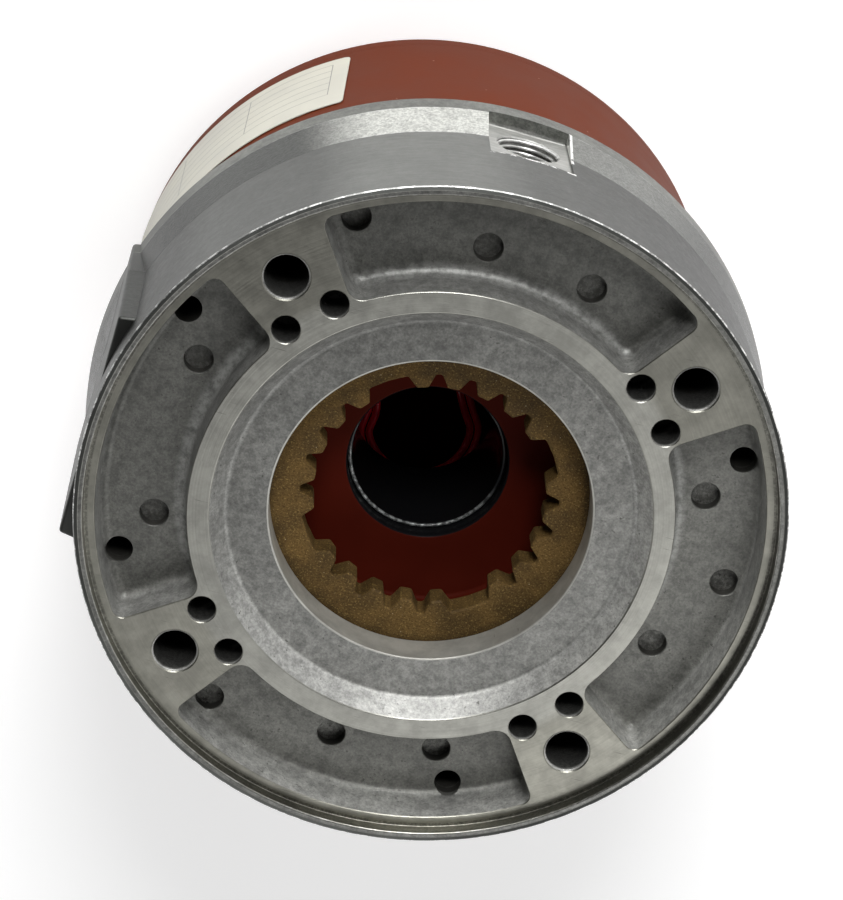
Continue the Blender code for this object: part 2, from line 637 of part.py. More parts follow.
def spline_outline():
    """Inner outline with groups of teeth parted by a missing tooth."""
    pitch = 2 * math.pi / SPLINE_PITCHES
    group = SPLINE_TEETH_PER_GROUP + 1
    points = []
    for index in range(SPLINE_PITCHES):
        if index % group == 0:
            continue
        angle = SPLINE_GAP_ANGLE + index * pitch
        points.append(polar(SPLINE_ROOT_RADIUS, angle - SPLINE_ROOT_HALF))
        points.append(polar(SPLINE_TIP_RADIUS, angle - SPLINE_TIP_HALF))
        points.append(polar(SPLINE_TIP_RADIUS, angle + SPLINE_TIP_HALF))
        points.append(polar(SPLINE_ROOT_RADIUS, angle + SPLINE_ROOT_HALF))
        if (index + 1) % group == 0:
            points.append(polar(SPLINE_ROOT_RADIUS, angle + pitch))
    return points


def make_friction_disc():
    disc = flat_plate("friction_disc", [circle_outline(DISC_RADIUS), spline_outline()],
                      DISC_DEPTH, DISC_DEPTH + DISC_THICKNESS)
    BRAKE.objects.link(disc)
    return as_mesh(disc, FRICTION)


# Armature, its pins and springs


def make_armature():
    plate = turned("armature_plate", [
        (ARMATURE_BORE_RADIUS, ARMATURE_DEPTH), (ARMATURE_RADIUS, ARMATURE_DEPTH),
        (ARMATURE_RADIUS, ARMATURE_BACK_DEPTH), (ARMATURE_BORE_RADIUS, ARMATURE_BACK_DEPTH),
    ], STEEL, HIDDEN_STEPS)
    holes = drill_set("armature_holes", [
        (*polar(PIN_CIRCLE_RADIUS, angle), ARMATURE_DEPTH - CUT_PAST, ARMATURE_BACK_DEPTH + CUT_PAST,
         PIN_RADIUS + PIN_RUNNING_CLEARANCE) for angle in evenly(BOLT_COUNT, BOLT_START_ANGLE)])
    combine(plate, holes)
    return plate


def make_torque_pins():
    top = WEB_BACK_DEPTH - PIN_SEAT_LENGTH
    bottom = POLE_FACE_DEPTH + PIN_END_LENGTH
    pin = turned("torque_pin", [
        (0.0, top), (PIN_RADIUS - PIN_CHAMFER, top), (PIN_RADIUS, top + PIN_CHAMFER),
        (PIN_RADIUS, bottom - PIN_CHAMFER), (PIN_RADIUS - PIN_CHAMFER, bottom), (0.0, bottom),
    ], STEEL, HOLE_STEPS)
    copies(pin, "torque_pin", PIN_CIRCLE_RADIUS, evenly(BOLT_COUNT, BOLT_START_ANGLE))


def copies(first, name, radius, angles):
    """Numbered copies of an object round the axis; they share its mesh."""
    solid = as_mesh(first, first.data.materials[0])
    mesh = solid.data
    smooth(mesh)
    bpy.data.objects.remove(solid, do_unlink=True)
    for index, angle in enumerate(angles):
        copy = bpy.data.objects.new(f"{name}_{index + 1}", mesh)
        copy.location = (*polar(radius, angle), 0.0)
        copy.rotation_euler.z = angle
        place(copy, None)


def make_springs():
    """Closed and ground at both ends: the first and last turns lie flat."""
    top = height(ARMATURE_BACK_DEPTH + REST_GAP) - SPRING_WIRE_RADIUS
    bottom = height(SPRING_POCKET_FLOOR - REST_GAP) + SPRING_WIRE_RADIUS
    total = SPRING_TURNS * SPRING_POINTS_PER_TURN
    pitch_gap = 2 * SPRING_WIRE_RADIUS + REST_GAP
    points = []
    for i in range(total + 1):
        turn = i / SPRING_POINTS_PER_TURN
        x, y = polar(SPRING_COIL_RADIUS, 2 * math.pi * turn)
        if turn < 1:
            z = bottom + pitch_gap * turn
        elif turn > SPRING_TURNS - 1:
            z = top - pitch_gap * (SPRING_TURNS - turn)
        else:
            share = (turn - 1) / (SPRING_TURNS - 2)
            z = bottom + pitch_gap + (top - bottom - 2 * pitch_gap) * share
        points.append((x, y, z))
    first = tube_along("brake_spring", points, SPRING_WIRE_RADIUS, SPRING_STEEL)
    copies(first, "brake_spring", SPRING_CIRCLE_RADIUS, evenly(SPRING_COUNT))


# Magnet body and coil


def make_magnet_body():
    body = turned("magnet_body", [
        (MAGNET_BORE_RADIUS + BODY_CHAMFER, POLE_RECESS_FLOOR),
        (ARMATURE_BORE_RADIUS, POLE_RECESS_FLOOR),
        (ARMATURE_BORE_RADIUS, POLE_FACE_DEPTH),
        (COIL_INNER_RADIUS, POLE_FACE_DEPTH),
        (COIL_INNER_RADIUS, GROOVE_FLOOR_DEPTH),
        (COIL_OUTER_RADIUS, GROOVE_FLOOR_DEPTH),
        (COIL_OUTER_RADIUS, POLE_FACE_DEPTH),
        (POLE_FACE_RADIUS, POLE_FACE_DEPTH),
        (POLE_FACE_RADIUS, BODY_SHOULDER_DEPTH),
        (BODY_RADIUS - BODY_CHAMFER, BODY_SHOULDER_DEPTH),
        (BODY_RADIUS, BODY_SHOULDER_DEPTH + BODY_CHAMFER),
        (BODY_RADIUS, SKIRT_END_DEPTH),
        (SKIRT_RADIUS, SKIRT_END_DEPTH),
        (SKIRT_RADIUS, BACK_PLATE_DEPTH + SKIRT_FILLET),
        (SKIRT_RADIUS - SKIRT_FILLET, BACK_PLATE_DEPTH),
        (MAGNET_BORE_RADIUS, BACK_PLATE_DEPTH),
        (MAGNET_BORE_RADIUS, POLE_RECESS_FLOOR + BODY_CHAMFER),
    ], RED_PAINT)
    drills = [(*polar(SPRING_CIRCLE_RADIUS, a), POLE_FACE_DEPTH - CUT_PAST, SPRING_POCKET_FLOOR,
               SPRING_POCKET_RADIUS) for a in evenly(SPRING_COUNT)]
    drills += [(*polar(PIN_CIRCLE_RADIUS, a), POLE_FACE_DEPTH - CUT_PAST,
                POLE_FACE_DEPTH + PIN_END_LENGTH + CUT_PAST, PIN_RADIUS + PIN_RUNNING_CLEARANCE)
               for a in evenly(BOLT_COUNT, BOLT_START_ANGLE)]
    tip_depth = HOUSING_SEAT_DEPTH + HOUSING_SCREW_LENGTH
    drills += [(*polar(HOUSING_SCREW_CIRCLE, a), BODY_SHOULDER_DEPTH - CUT_PAST, tip_depth + CUT_PAST,
                SCREW_HOLE_RADIUS) for a in HOUSING_SCREW_ANGLES]
    cover_tip = COVER_HEAD_DEPTH - COVER_HEAD_HEIGHT - COVER_SCREW_LENGTH
    drills += [(*polar(COVER_SCREW_CIRCLE, a), cover_tip - CUT_PAST, SKIRT_END_DEPTH + CUT_PAST,
                SCREW_HOLE_RADIUS) for a in evenly(COVER_SCREW_COUNT, COVER_SCREW_START)]
    drills.append((*polar(LEAD_HOLE_CIRCLE, LEAD_HOLE_ANGLE), GROOVE_FLOOR_DEPTH - CUT_PAST,
                   BACK_PLATE_DEPTH + CUT_PAST, LEAD_HOLE_RADIUS))
    foot_end = REAR_SEAT_DEPTH + TERMINAL_FOOT
    block_turn = Matrix.Rotation(TERMINAL_ANGLE, 2)
    for side in (-1, 1):
        x, y = block_turn @ Vector((TERMINAL_RADIUS, side * TERMINAL_FIXING_PITCH / 2))
        drills.append((x, y, foot_end - FIXING_SCREW_LENGTH - CUT_PAST, BACK_PLATE_DEPTH + CUT_PAST,
                       SMALL_HOLE))
    combine(body, drill_set("magnet_holes", drills))
    return body


def make_coil():
    """The rings have fewer facets than the pole inside them, so their flats need room."""
    inner = (COIL_INNER_RADIUS + REST_GAP) / math.cos(math.pi / HIDDEN_STEPS)
    outer = COIL_OUTER_RADIUS - REST_GAP
    top = POLE_FACE_DEPTH + REST_GAP
    potting_end = top + POTTING_THICKNESS
    turned("coil_potting", [(inner, top), (outer, top), (outer, potting_end), (inner, potting_end)],
           BLACK_PLASTIC, HIDDEN_STEPS)
    bobbin_top = potting_end + REST_GAP
    bobbin_end = GROOVE_FLOOR_DEPTH - REST_GAP
    core = inner + BOBBIN_WALL
    turned("coil_bobbin", [
        (inner, bobbin_top), (outer, bobbin_top), (outer, bobbin_top + BOBBIN_WALL),
        (core, bobbin_top + BOBBIN_WALL), (core, bobbin_end - BOBBIN_WALL),
        (outer, bobbin_end - BOBBIN_WALL), (outer, bobbin_end), (inner, bobbin_end),
    ], BLACK_PLASTIC, HIDDEN_STEPS)
    wire_top = bobbin_top + BOBBIN_WALL + REST_GAP
    wire_end = bobbin_end - BOBBIN_WALL - REST_GAP
    turned("coil_winding", [
        (core + REST_GAP, wire_top), (outer, wire_top), (outer, wire_end), (core + REST_GAP, wire_end),
    ], COPPER, HIDDEN_STEPS)


def make_bore_sleeve():
    outer = MAGNET_BORE_RADIUS - REST_GAP
    inner = outer - SLEEVE_WALL
    top = POLE_RECESS_FLOOR + SLEEVE_SETBACK
    seat = REAR_SEAT_DEPTH
    flange = outer + SLEEVE_FLANGE
    round_edge = SLEEVE_WALL / 3
    turned("bore_sleeve", [
        (inner + round_edge, top), (outer - round_edge, top), (outer, top + round_edge),
        (outer, seat), (flange, seat), (flange, seat + SLEEVE_FLANGE_THICKNESS),
        (inner, seat + SLEEVE_FLANGE_THICKNESS), (inner, top + round_edge),
    ], BLACK_PLASTIC, HIDDEN_STEPS)


# Leads and terminal block


def make_grommet():
    outer = LEAD_HOLE_RADIUS - REST_GAP
    grommet = turned("lead_grommet", [
        (GROMMET_BORE, BACK_PLATE_DEPTH - GROMMET_DEPTH_IN),
        (outer, BACK_PLATE_DEPTH - GROMMET_DEPTH_IN),
        (outer, REAR_SEAT_DEPTH), (outer + GROMMET_FLANGE, REAR_SEAT_DEPTH),
        (outer + GROMMET_FLANGE, REAR_SEAT_DEPTH + GROMMET_FLANGE_THICKNESS),
        (GROMMET_BORE, REAR_SEAT_DEPTH + GROMMET_FLANGE_THICKNESS),
    ], RUBBER, HIDDEN_STEPS // 2)
    grommet.location = (*polar(LEAD_HOLE_CIRCLE, LEAD_HOLE_ANGLE), 0.0)


def smooth_route(corners, count):
    """Evenly spaced points of one smooth curve through hand-chosen points."""
    padded = [corners[0] * 2 - corners[1], *corners, corners[-1] * 2 - corners[-2]]
    steps = 20
    fine = []
    for a, b, c, d in zip(padded, padded[1:], padded[2:], padded[3:]):
        for i in range(steps):
            t = i / steps
            fine.append((2 * b + (c - a) * t + (2 * a - 5 * b + 4 * c - d) * t ** 2
                         + (3 * b - a - 3 * c + d) * t ** 3) / 2)
    fine.append(corners[-1])
    reach = [0.0]
    for p, q in zip(fine, fine[1:]):
        reach.append(reach[-1] + (q - p).length)
    points = []
    k = 0
    for i in range(count):
        target = reach[-1] * i / (count - 1)
        while k < len(fine) - 2 and reach[k + 1] < target:
            k += 1
        share = (target - reach[k]) / (reach[k + 1] - reach[k])
        points.append(fine[k].lerp(fine[k + 1], share))
    return points


def lead_centre_line():
    """Out of the grommet, round behind the bore, and outward to the terminal block."""
    hole = Vector((*polar(LEAD_HOLE_CIRCLE, LEAD_HOLE_ANGLE), 0.0))
    outward = Vector((*polar(1.0, TERMINAL_ANGLE), 0.0))
    centre = Vector((*LEAD_LOOP_CENTRE, height(LEAD_LOOP_DEPTH)))
    loop_z = Vector((0.0, 0.0, height(LEAD_LOOP_DEPTH)))
    straight = Vector((0.0, 0.0, height(REAR_SEAT_DEPTH + GROMMET_FLANGE_THICKNESS)))
    corners = [hole + Vector((0.0, 0.0, height(GROOVE_FLOOR_DEPTH + 2 * LEAD_RADIUS))),
               hole + Vector((0.0, 0.0, height(BACK_PLATE_DEPTH - GROMMET_DEPTH_IN))),
               hole + straight]
    loop = [centre + Vector((*polar(LEAD_LOOP_RADIUS, LEAD_LOOP_START + LEAD_LOOP_TURN * i
                                    / (LEAD_LOOP_KNOTS - 1)), 0.0))
            for i in range(LEAD_LOOP_KNOTS)]
    run = loop[0] - hole - loop_z
    run.z = 0.0
    corners += [hole + loop_z + run * share for share in LEAD_RUN_SHARES]
    corners += loop
    entry = TERMINAL_RADIUS - TERMINAL_WIDTH / 2
    for distance in (-TERMINAL_WIDTH, -TERMINAL_WIDTH / 2, LEAD_END_DEPTH_IN):
        corners.append(outward * (entry + distance) + loop_z)
    return smooth_route(corners, LEAD_POINTS)


def make_leads():
    """Two leads side by side, which part where they reach the terminal block."""
    line = lead_centre_line()
    ahead = [(q - p).normalized() for p, q in zip(line, line[1:])]
    ahead.append(ahead[-1])
    level = [Vector((t.x, t.y, 0.0)) for t in ahead]
    first = next(t for t in level if t.length > 0.5)
    level = [first if t.length < 0.5 else t for t in level]
    entry = TERMINAL_RADIUS - TERMINAL_WIDTH / 2
    for index, side in enumerate((-1, 1)):
        points = []
        for point, way in zip(line, level):
            radius = Vector((point.x, point.y)).length if point.y > 0 and point.x > -entry / 2 else 0
            share = min(1.0, max(0.0, (radius - entry / 3) / (entry / 2)))
            apart = share * share * (3 - 2 * share) * (TERMINAL_PITCH / 2 - LEAD_SIDE_STEP)
            right = Vector((way.y, -way.x, 0.0)).normalized()
            points.append(point + right * side * (LEAD_SIDE_STEP + apart))
        tube_along(f"lead_wire_{index + 1}", points, LEAD_RADIUS, RED_LEAD)


def turn_to_block(obj):
    """Parts of the terminal block are made on the X axis and turned to its angle."""
    obj.data.transform(Matrix.Rotation(TERMINAL_ANGLE, 4, "Z"))
    return obj


def slotted_screw(name, seat_depth, length):
    """A cheese head screw driven toward the pads; its head stands behind the seat."""
    top = seat_depth + REST_GAP
    back = top + SMALL_HEAD_HEIGHT
    screw = turned(name, [
        (0.0, top - length), (SMALL_SHANK, top - length), (SMALL_SHANK, top), (SMALL_HEAD, top),
        (SMALL_HEAD, back), (0.0, back),
    ], STEEL, HOLE_STEPS)
    slot = block(name + "_slot", (-2 * SMALL_HEAD, -SMALL_SLOT / 2, height(back + SMALL_SLOT)),
                 (2 * SMALL_HEAD, SMALL_SLOT / 2, height(back - SMALL_SLOT)))
    combine(screw, hide_cutter(slot))
    return screw


def make_terminal_block():
    low_x = TERMINAL_RADIUS - TERMINAL_WIDTH / 2
    high_x = TERMINAL_RADIUS + TERMINAL_WIDTH / 2
    foot_end = REAR_SEAT_DEPTH + TERMINAL_FOOT
    body_end = REAR_SEAT_DEPTH + TERMINAL_HEIGHT
    foot = turn_to_block(block("terminal_block", (low_x, -TERMINAL_LENGTH / 2, height(foot_end)),
                               (high_x, TERMINAL_LENGTH / 2, height(REAR_SEAT_DEPTH))))
    place(foot, BLACK_PLASTIC)
    tower = block("terminal_tower", (low_x + REST_GAP, -TERMINAL_BODY_LENGTH / 2, height(body_end)),
                  (high_x - REST_GAP, TERMINAL_BODY_LENGTH / 2, height(foot_end - CUT_PAST)))
    combine(foot, hide_cutter(turn_to_block(tower)), "UNION")
    ways = [-TERMINAL_PITCH / 2, TERMINAL_PITCH / 2]
    fixings = [-TERMINAL_FIXING_PITCH / 2, TERMINAL_FIXING_PITCH / 2]
    for index, y in enumerate(ways):
        entry = cross_cylinder(f"terminal_entry_{index + 1}", LEAD_RADIUS + SCREW_CLEARANCE,
                               low_x - CUT_PAST, low_x + LEAD_END_DEPTH_IN + CUT_PAST, y, LEAD_LOOP_DEPTH)
        combine(foot, hide_cutter(turn_to_block(entry)))
    drills = [(TERMINAL_RADIUS, y, REAR_SEAT_DEPTH - CUT_PAST, foot_end + CUT_PAST, SMALL_HOLE)
              for y in fixings]
    screw_radius = TERMINAL_RADIUS + TERMINAL_SCREW_OFFSET
    drills += [(screw_radius, y, body_end - TERMINAL_SCREW_LENGTH - CUT_PAST, body_end + CUT_PAST,
                SMALL_HOLE) for y in ways]
    combine(foot, turn_to_block(drill_set("terminal_holes", drills)))
    for name, seat, length, radius, places in (
            ("terminal_screw", body_end, TERMINAL_SCREW_LENGTH, screw_radius, ways),
            ("terminal_fixing_screw", foot_end, FIXING_SCREW_LENGTH, TERMINAL_RADIUS, fixings)):
        solid = as_mesh(slotted_screw(name, seat, length), STEEL)
        mesh = solid.data
        smooth(mesh)
        bpy.data.objects.remove(solid, do_unlink=True)
        for index, y in enumerate(places):
            copy = bpy.data.objects.new(f"{name}_{index + 1}", mesh)
            copy.matrix_world = (Matrix.Rotation(TERMINAL_ANGLE, 4, "Z")
                                 @ Matrix.Translation((radius, y, 0.0)))
            place(copy, None)


# Covers, gasket, label and screws


def make_rear_cover():
    cover = turned("rear_cover", [
        (0.0, COVER_FRONT_DEPTH), (BODY_RADIUS, COVER_FRONT_DEPTH),
        (BODY_RADIUS, BODY_LENGTH - COVER_EDGE), (BODY_RADIUS - COVER_EDGE, BODY_LENGTH),
        (0.0, BODY_LENGTH),
    ], RED_PAINT)
    places = [polar(COVER_SCREW_CIRCLE, a) for a in evenly(COVER_SCREW_COUNT, COVER_SCREW_START)]
    seat = COVER_HEAD_DEPTH - COVER_HEAD_HEIGHT - REST_GAP
    combine(cover, drill_set("cover_counterbores", [
        (x, y, seat, BODY_LENGTH + CUT_PAST, HEAD_HOLE_RADIUS) for x, y in places]))
    combine(cover, drill_set("cover_holes", [
        (x, y, COVER_FRONT_DEPTH - CUT_PAST, seat + CUT_PAST, SCREW_HOLE_RADIUS) for x, y in places]))
    return cover


def make_rear_gasket():
    inner = SKIRT_RADIUS + REST_GAP
    outer = BODY_RADIUS - 2 * REST_GAP
    gasket = turned("rear_gasket", [
        (inner, GASKET_DEPTH), (outer, GASKET_DEPTH),
        (outer, GASKET_DEPTH + GASKET_THICKNESS), (inner, GASKET_DEPTH + GASKET_THICKNESS),
    ], RUBBER, HIDDEN_STEPS)
    combine(gasket, drill_set("gasket_holes", [
        (*polar(COVER_SCREW_CIRCLE, a), GASKET_DEPTH - CUT_PAST, GASKET_DEPTH + GASKET_THICKNESS + CUT_PAST,
         SCREW_HOLE_RADIUS) for a in evenly(COVER_SCREW_COUNT, COVER_SCREW_START)]))
    return gasket


def socket_screw(name, head_top, head_height, length, upside_down=False):
    """A socket head screw along the axis; its shank leaves the head's seat."""
    way = -1 if upside_down else 1
    seat = head_top + way * head_height
    tip = seat + way * length
    ring = [(0.0, head_top), (M5_HEAD - LIP_CHAMFER, head_top), (M5_HEAD, head_top + way * LIP_CHAMFER),
            (M5_HEAD, seat), (M5_SHANK, seat), (M5_SHANK, tip - way * LIP_CHAMFER),
            (M5_SHANK - LIP_CHAMFER, tip), (0.0, tip)]
    if upside_down:
        ring.reverse()
    screw = turned(name, ring, BLACK_STEEL, HOLE_STEPS)
    socket_depth = head_height * SOCKET_DEPTH_SHARE
    bm = bmesh.new()
    middle = height(head_top)
    bmesh.ops.create_cone(bm, cap_ends=True, segments=6, radius1=M5_SOCKET / math.sqrt(3),
                          radius2=M5_SOCKET / math.sqrt(3), depth=2 * socket_depth,
                          matrix=Matrix.Translation((0.0, 0.0, middle)))
    mesh = bpy.data.meshes.new(name + "_socket")
    bm.to_mesh(mesh)
    bm.free()
    combine(screw, hide_cutter(bpy.data.objects.new(name + "_socket", mesh)))
    return screw


def make_screws():
    housing = socket_screw("housing_screw", HOUSING_SEAT_DEPTH - REST_GAP - M5_HEAD_HEIGHT,
                           M5_HEAD_HEIGHT, HOUSING_SCREW_LENGTH)
    copies(housing, "housing_screw", HOUSING_SCREW_CIRCLE, HOUSING_SCREW_ANGLES)
    cover = socket_screw("cover_screw", COVER_HEAD_DEPTH, COVER_HEAD_HEIGHT, COVER_SCREW_LENGTH,
                         upside_down=True)
    copies(cover, "cover_screw", COVER_SCREW_CIRCLE, evenly(COVER_SCREW_COUNT, COVER_SCREW_START))


def make_label():
    """A thin sheet with rounded corners, wrapped on the body a little askew."""
    radius = BODY_RADIUS + REST_GAP
    columns = round(LABEL_SPAN / (2 * math.pi / ROUND_STEPS))
    corner_angle = LABEL_CORNER / radius
    angles = [LABEL_START, LABEL_START + corner_angle]
    angles += [LABEL_START + LABEL_SPAN * i / columns for i in range(1, columns)]
    angles += [LABEL_START + LABEL_SPAN - corner_angle, LABEL_START + LABEL_SPAN]
    top, bottom = height(LABEL_TOP_DEPTH), height(LABEL_TOP_DEPTH + LABEL_HEIGHT)
    facet = 2 * math.pi / ROUND_STEPS
    bm = bmesh.new()
    rows = []
    for index, level in enumerate(angles):
        inset = LABEL_CORNER if index in (0, len(angles) - 1) else 0.0
        sunk = (level - LABEL_START) * radius * math.tan(LABEL_LEAN)
        row = []
        for z in (bottom + inset, top - inset):
            angle = level + (z - bottom) * math.tan(LABEL_LEAN) / radius
            within = (angle % facet) / facet
            chord = radius * math.cos(facet / 2) / math.cos((within - 0.5) * facet)
            row.append(bm.verts.new((*polar(chord, angle), z - sunk)))
        rows.append(row)
    for left, right in zip(rows, rows[1:]):
        bm.faces.new((left[0], right[0], right[1], left[1]))
    mesh = bpy.data.meshes.new("nameplate_label")
    bm.to_mesh(mesh)
    bm.free()
    label = place(bpy.data.objects.new("nameplate_label", mesh), LABEL_WHITE)
    solidify = label.modifiers.new("thickness", "SOLIDIFY")
    solidify.thickness = LABEL_THICKNESS
    solidify.offset = 1.0
    return label


make_flange_housing()
make_friction_disc()
make_armature()
make_torque_pins()
make_springs()
make_magnet_body()
make_coil()
make_bore_sleeve()
make_grommet()
make_leads()
make_terminal_block()
make_rear_cover()
make_rear_gasket()
make_screws()
make_label()
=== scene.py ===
# %% [markdown]
# # A spring applied brake, dressed for a studio picture
#
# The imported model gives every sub-part at its real size, but its round pieces have few facets and
# plain colours. This lesson loads it as a fixed frame, makes finer pieces that stand for the ones
# that show, gives each piece a finish, and lights the whole as a plain product photograph.
#
# Everything is in metres. The brake's axis is +Z, and the origin is the middle of its rear cover.

import math

import bmesh
import bpy
from mathutils import Matrix, Vector


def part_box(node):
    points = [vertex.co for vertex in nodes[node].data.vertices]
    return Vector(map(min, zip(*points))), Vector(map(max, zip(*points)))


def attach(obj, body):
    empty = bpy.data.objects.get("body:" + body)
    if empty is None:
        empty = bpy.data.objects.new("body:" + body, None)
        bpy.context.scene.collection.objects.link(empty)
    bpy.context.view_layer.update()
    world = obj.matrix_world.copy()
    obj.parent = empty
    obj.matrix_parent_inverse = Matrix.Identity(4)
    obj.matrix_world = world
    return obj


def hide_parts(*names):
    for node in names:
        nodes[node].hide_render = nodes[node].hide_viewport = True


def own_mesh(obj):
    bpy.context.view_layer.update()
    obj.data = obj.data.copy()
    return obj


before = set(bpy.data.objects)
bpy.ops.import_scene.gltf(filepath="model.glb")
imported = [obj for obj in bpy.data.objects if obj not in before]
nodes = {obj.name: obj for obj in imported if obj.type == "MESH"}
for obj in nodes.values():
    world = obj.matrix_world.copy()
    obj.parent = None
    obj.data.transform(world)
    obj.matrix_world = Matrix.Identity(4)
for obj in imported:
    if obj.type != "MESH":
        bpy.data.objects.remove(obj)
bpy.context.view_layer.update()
MM = 0.001

# %% [markdown]
# ## Where the brake's faces are
#
# Depths on this brake are measured from its four mounting pads, as on a drawing of a face mounted
# part. The frame says how high the pilot lip stands and how far the body reaches, so the heights
# come from the frame's boxes, and only the small forms below have sizes of their own.

# %% Heights from the frame
LIP_HEIGHT = 4.5 * MM
PAD_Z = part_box("flange_housing")[1].z - LIP_HEIGHT
HOUSING_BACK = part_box("flange_housing")[0].z
DISC_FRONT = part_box("friction_disc")[1].z
DISC_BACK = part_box("friction_disc")[0].z
BODY_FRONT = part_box("magnet_body")[1].z
BODY_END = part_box("magnet_body")[0].z
BODY_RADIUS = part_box("rear_cover")[1].x


def up(depth):
    """Height of a point at this depth below the pads."""
    return PAD_Z - depth


def polar(radius, angle, z=0.0):
    return Vector((radius * math.cos(angle), radius * math.sin(angle), z))


print("pads at", round(PAD_Z / MM, 2), "mm, body radius", round(BODY_RADIUS / MM, 2), "mm")

# %% [markdown]
# ## The camera
#
# A product photograph of this kind is taken from about a metre with a long lens, looking down at
# the mounting face from the side of the conduit entry. A camera's own axes are right, up and
# backwards, so the view is built from where it stands, what it looks at, and which way is up in
# the picture.

# %% Camera
CAMERA_SPOT = Vector((-0.13095, 0.36314, 1.05228))
CAMERA_AIM = Vector((-0.00995, 0.02252, 0.18600))
PICTURE_UP = Vector((-0.25735, 0.88652, -0.38452))
LENS = 121.95
SENSOR_HEIGHT = 36.0

ahead = (CAMERA_AIM - CAMERA_SPOT).normalized()
right = ahead.cross(PICTURE_UP).normalized()
true_up = right.cross(ahead)
camera_data = bpy.data.cameras.new("studio_camera")
camera_data.lens = LENS
camera_data.sensor_fit = "VERTICAL"
camera_data.sensor_height = SENSOR_HEIGHT
camera = bpy.data.objects.new("studio_camera", camera_data)
turn = Matrix((right, true_up, -ahead)).transposed()
camera.matrix_world = Matrix.Translation(CAMERA_SPOT) @ turn.to_4x4()
bpy.context.scene.collection.objects.link(camera)
bpy.context.scene.camera = camera
print("camera looks", [round(value, 3) for value in ahead])

# %% [markdown]
# ## Shader maths as plain expressions
#
# A material that changes over a surface is arithmetic on coordinates. Written as nodes that is long,
# so one small class wraps a socket, and Python's operators on it add the Math nodes. Everything
# else goes through one method that makes a node from its type, its settings and its inputs.


# %% A socket that can be calculated with
class Value:
    """A shader socket with arithmetic."""

    def __init__(self, shader, socket):
        self.shader = shader
        self.socket = socket

    def math(self, operation, *others):
        return self.shader.node("ShaderNodeMath", {"operation": operation}, [self, *others])

    def __add__(self, other):
        return self.math("ADD", other)

    def __sub__(self, other):
        return self.math("SUBTRACT", other)

    def __rsub__(self, other):
        return self.shader.node("ShaderNodeMath", {"operation": "SUBTRACT"}, [other, self])

    def __mul__(self, other):
        return self.math("MULTIPLY", other)

    def __truediv__(self, other):
        return self.math("DIVIDE", other)

    def __neg__(self):
        return self.math("MULTIPLY", -1.0)

    def __pow__(self, other):
        return self.math("POWER", other)

    def most(self, other):
        return self.math("MAXIMUM", other)

    __radd__ = __add__
    __rmul__ = __mul__

    def between(self, low, high, soft):
        """1 where the value lies between low and high, with soft edges."""
        return self.ramp(low - soft, low + soft) * (1 - self.ramp(high - soft, high + soft))

    def ramp(self, start, end, first=0.0, last=1.0):
        """Smoothly from first to last as the value goes from start to end."""
        settings = {"interpolation_type": "SMOOTHSTEP"}
        return self.shader.node("ShaderNodeMapRange", settings, [self, start, end, first, last])


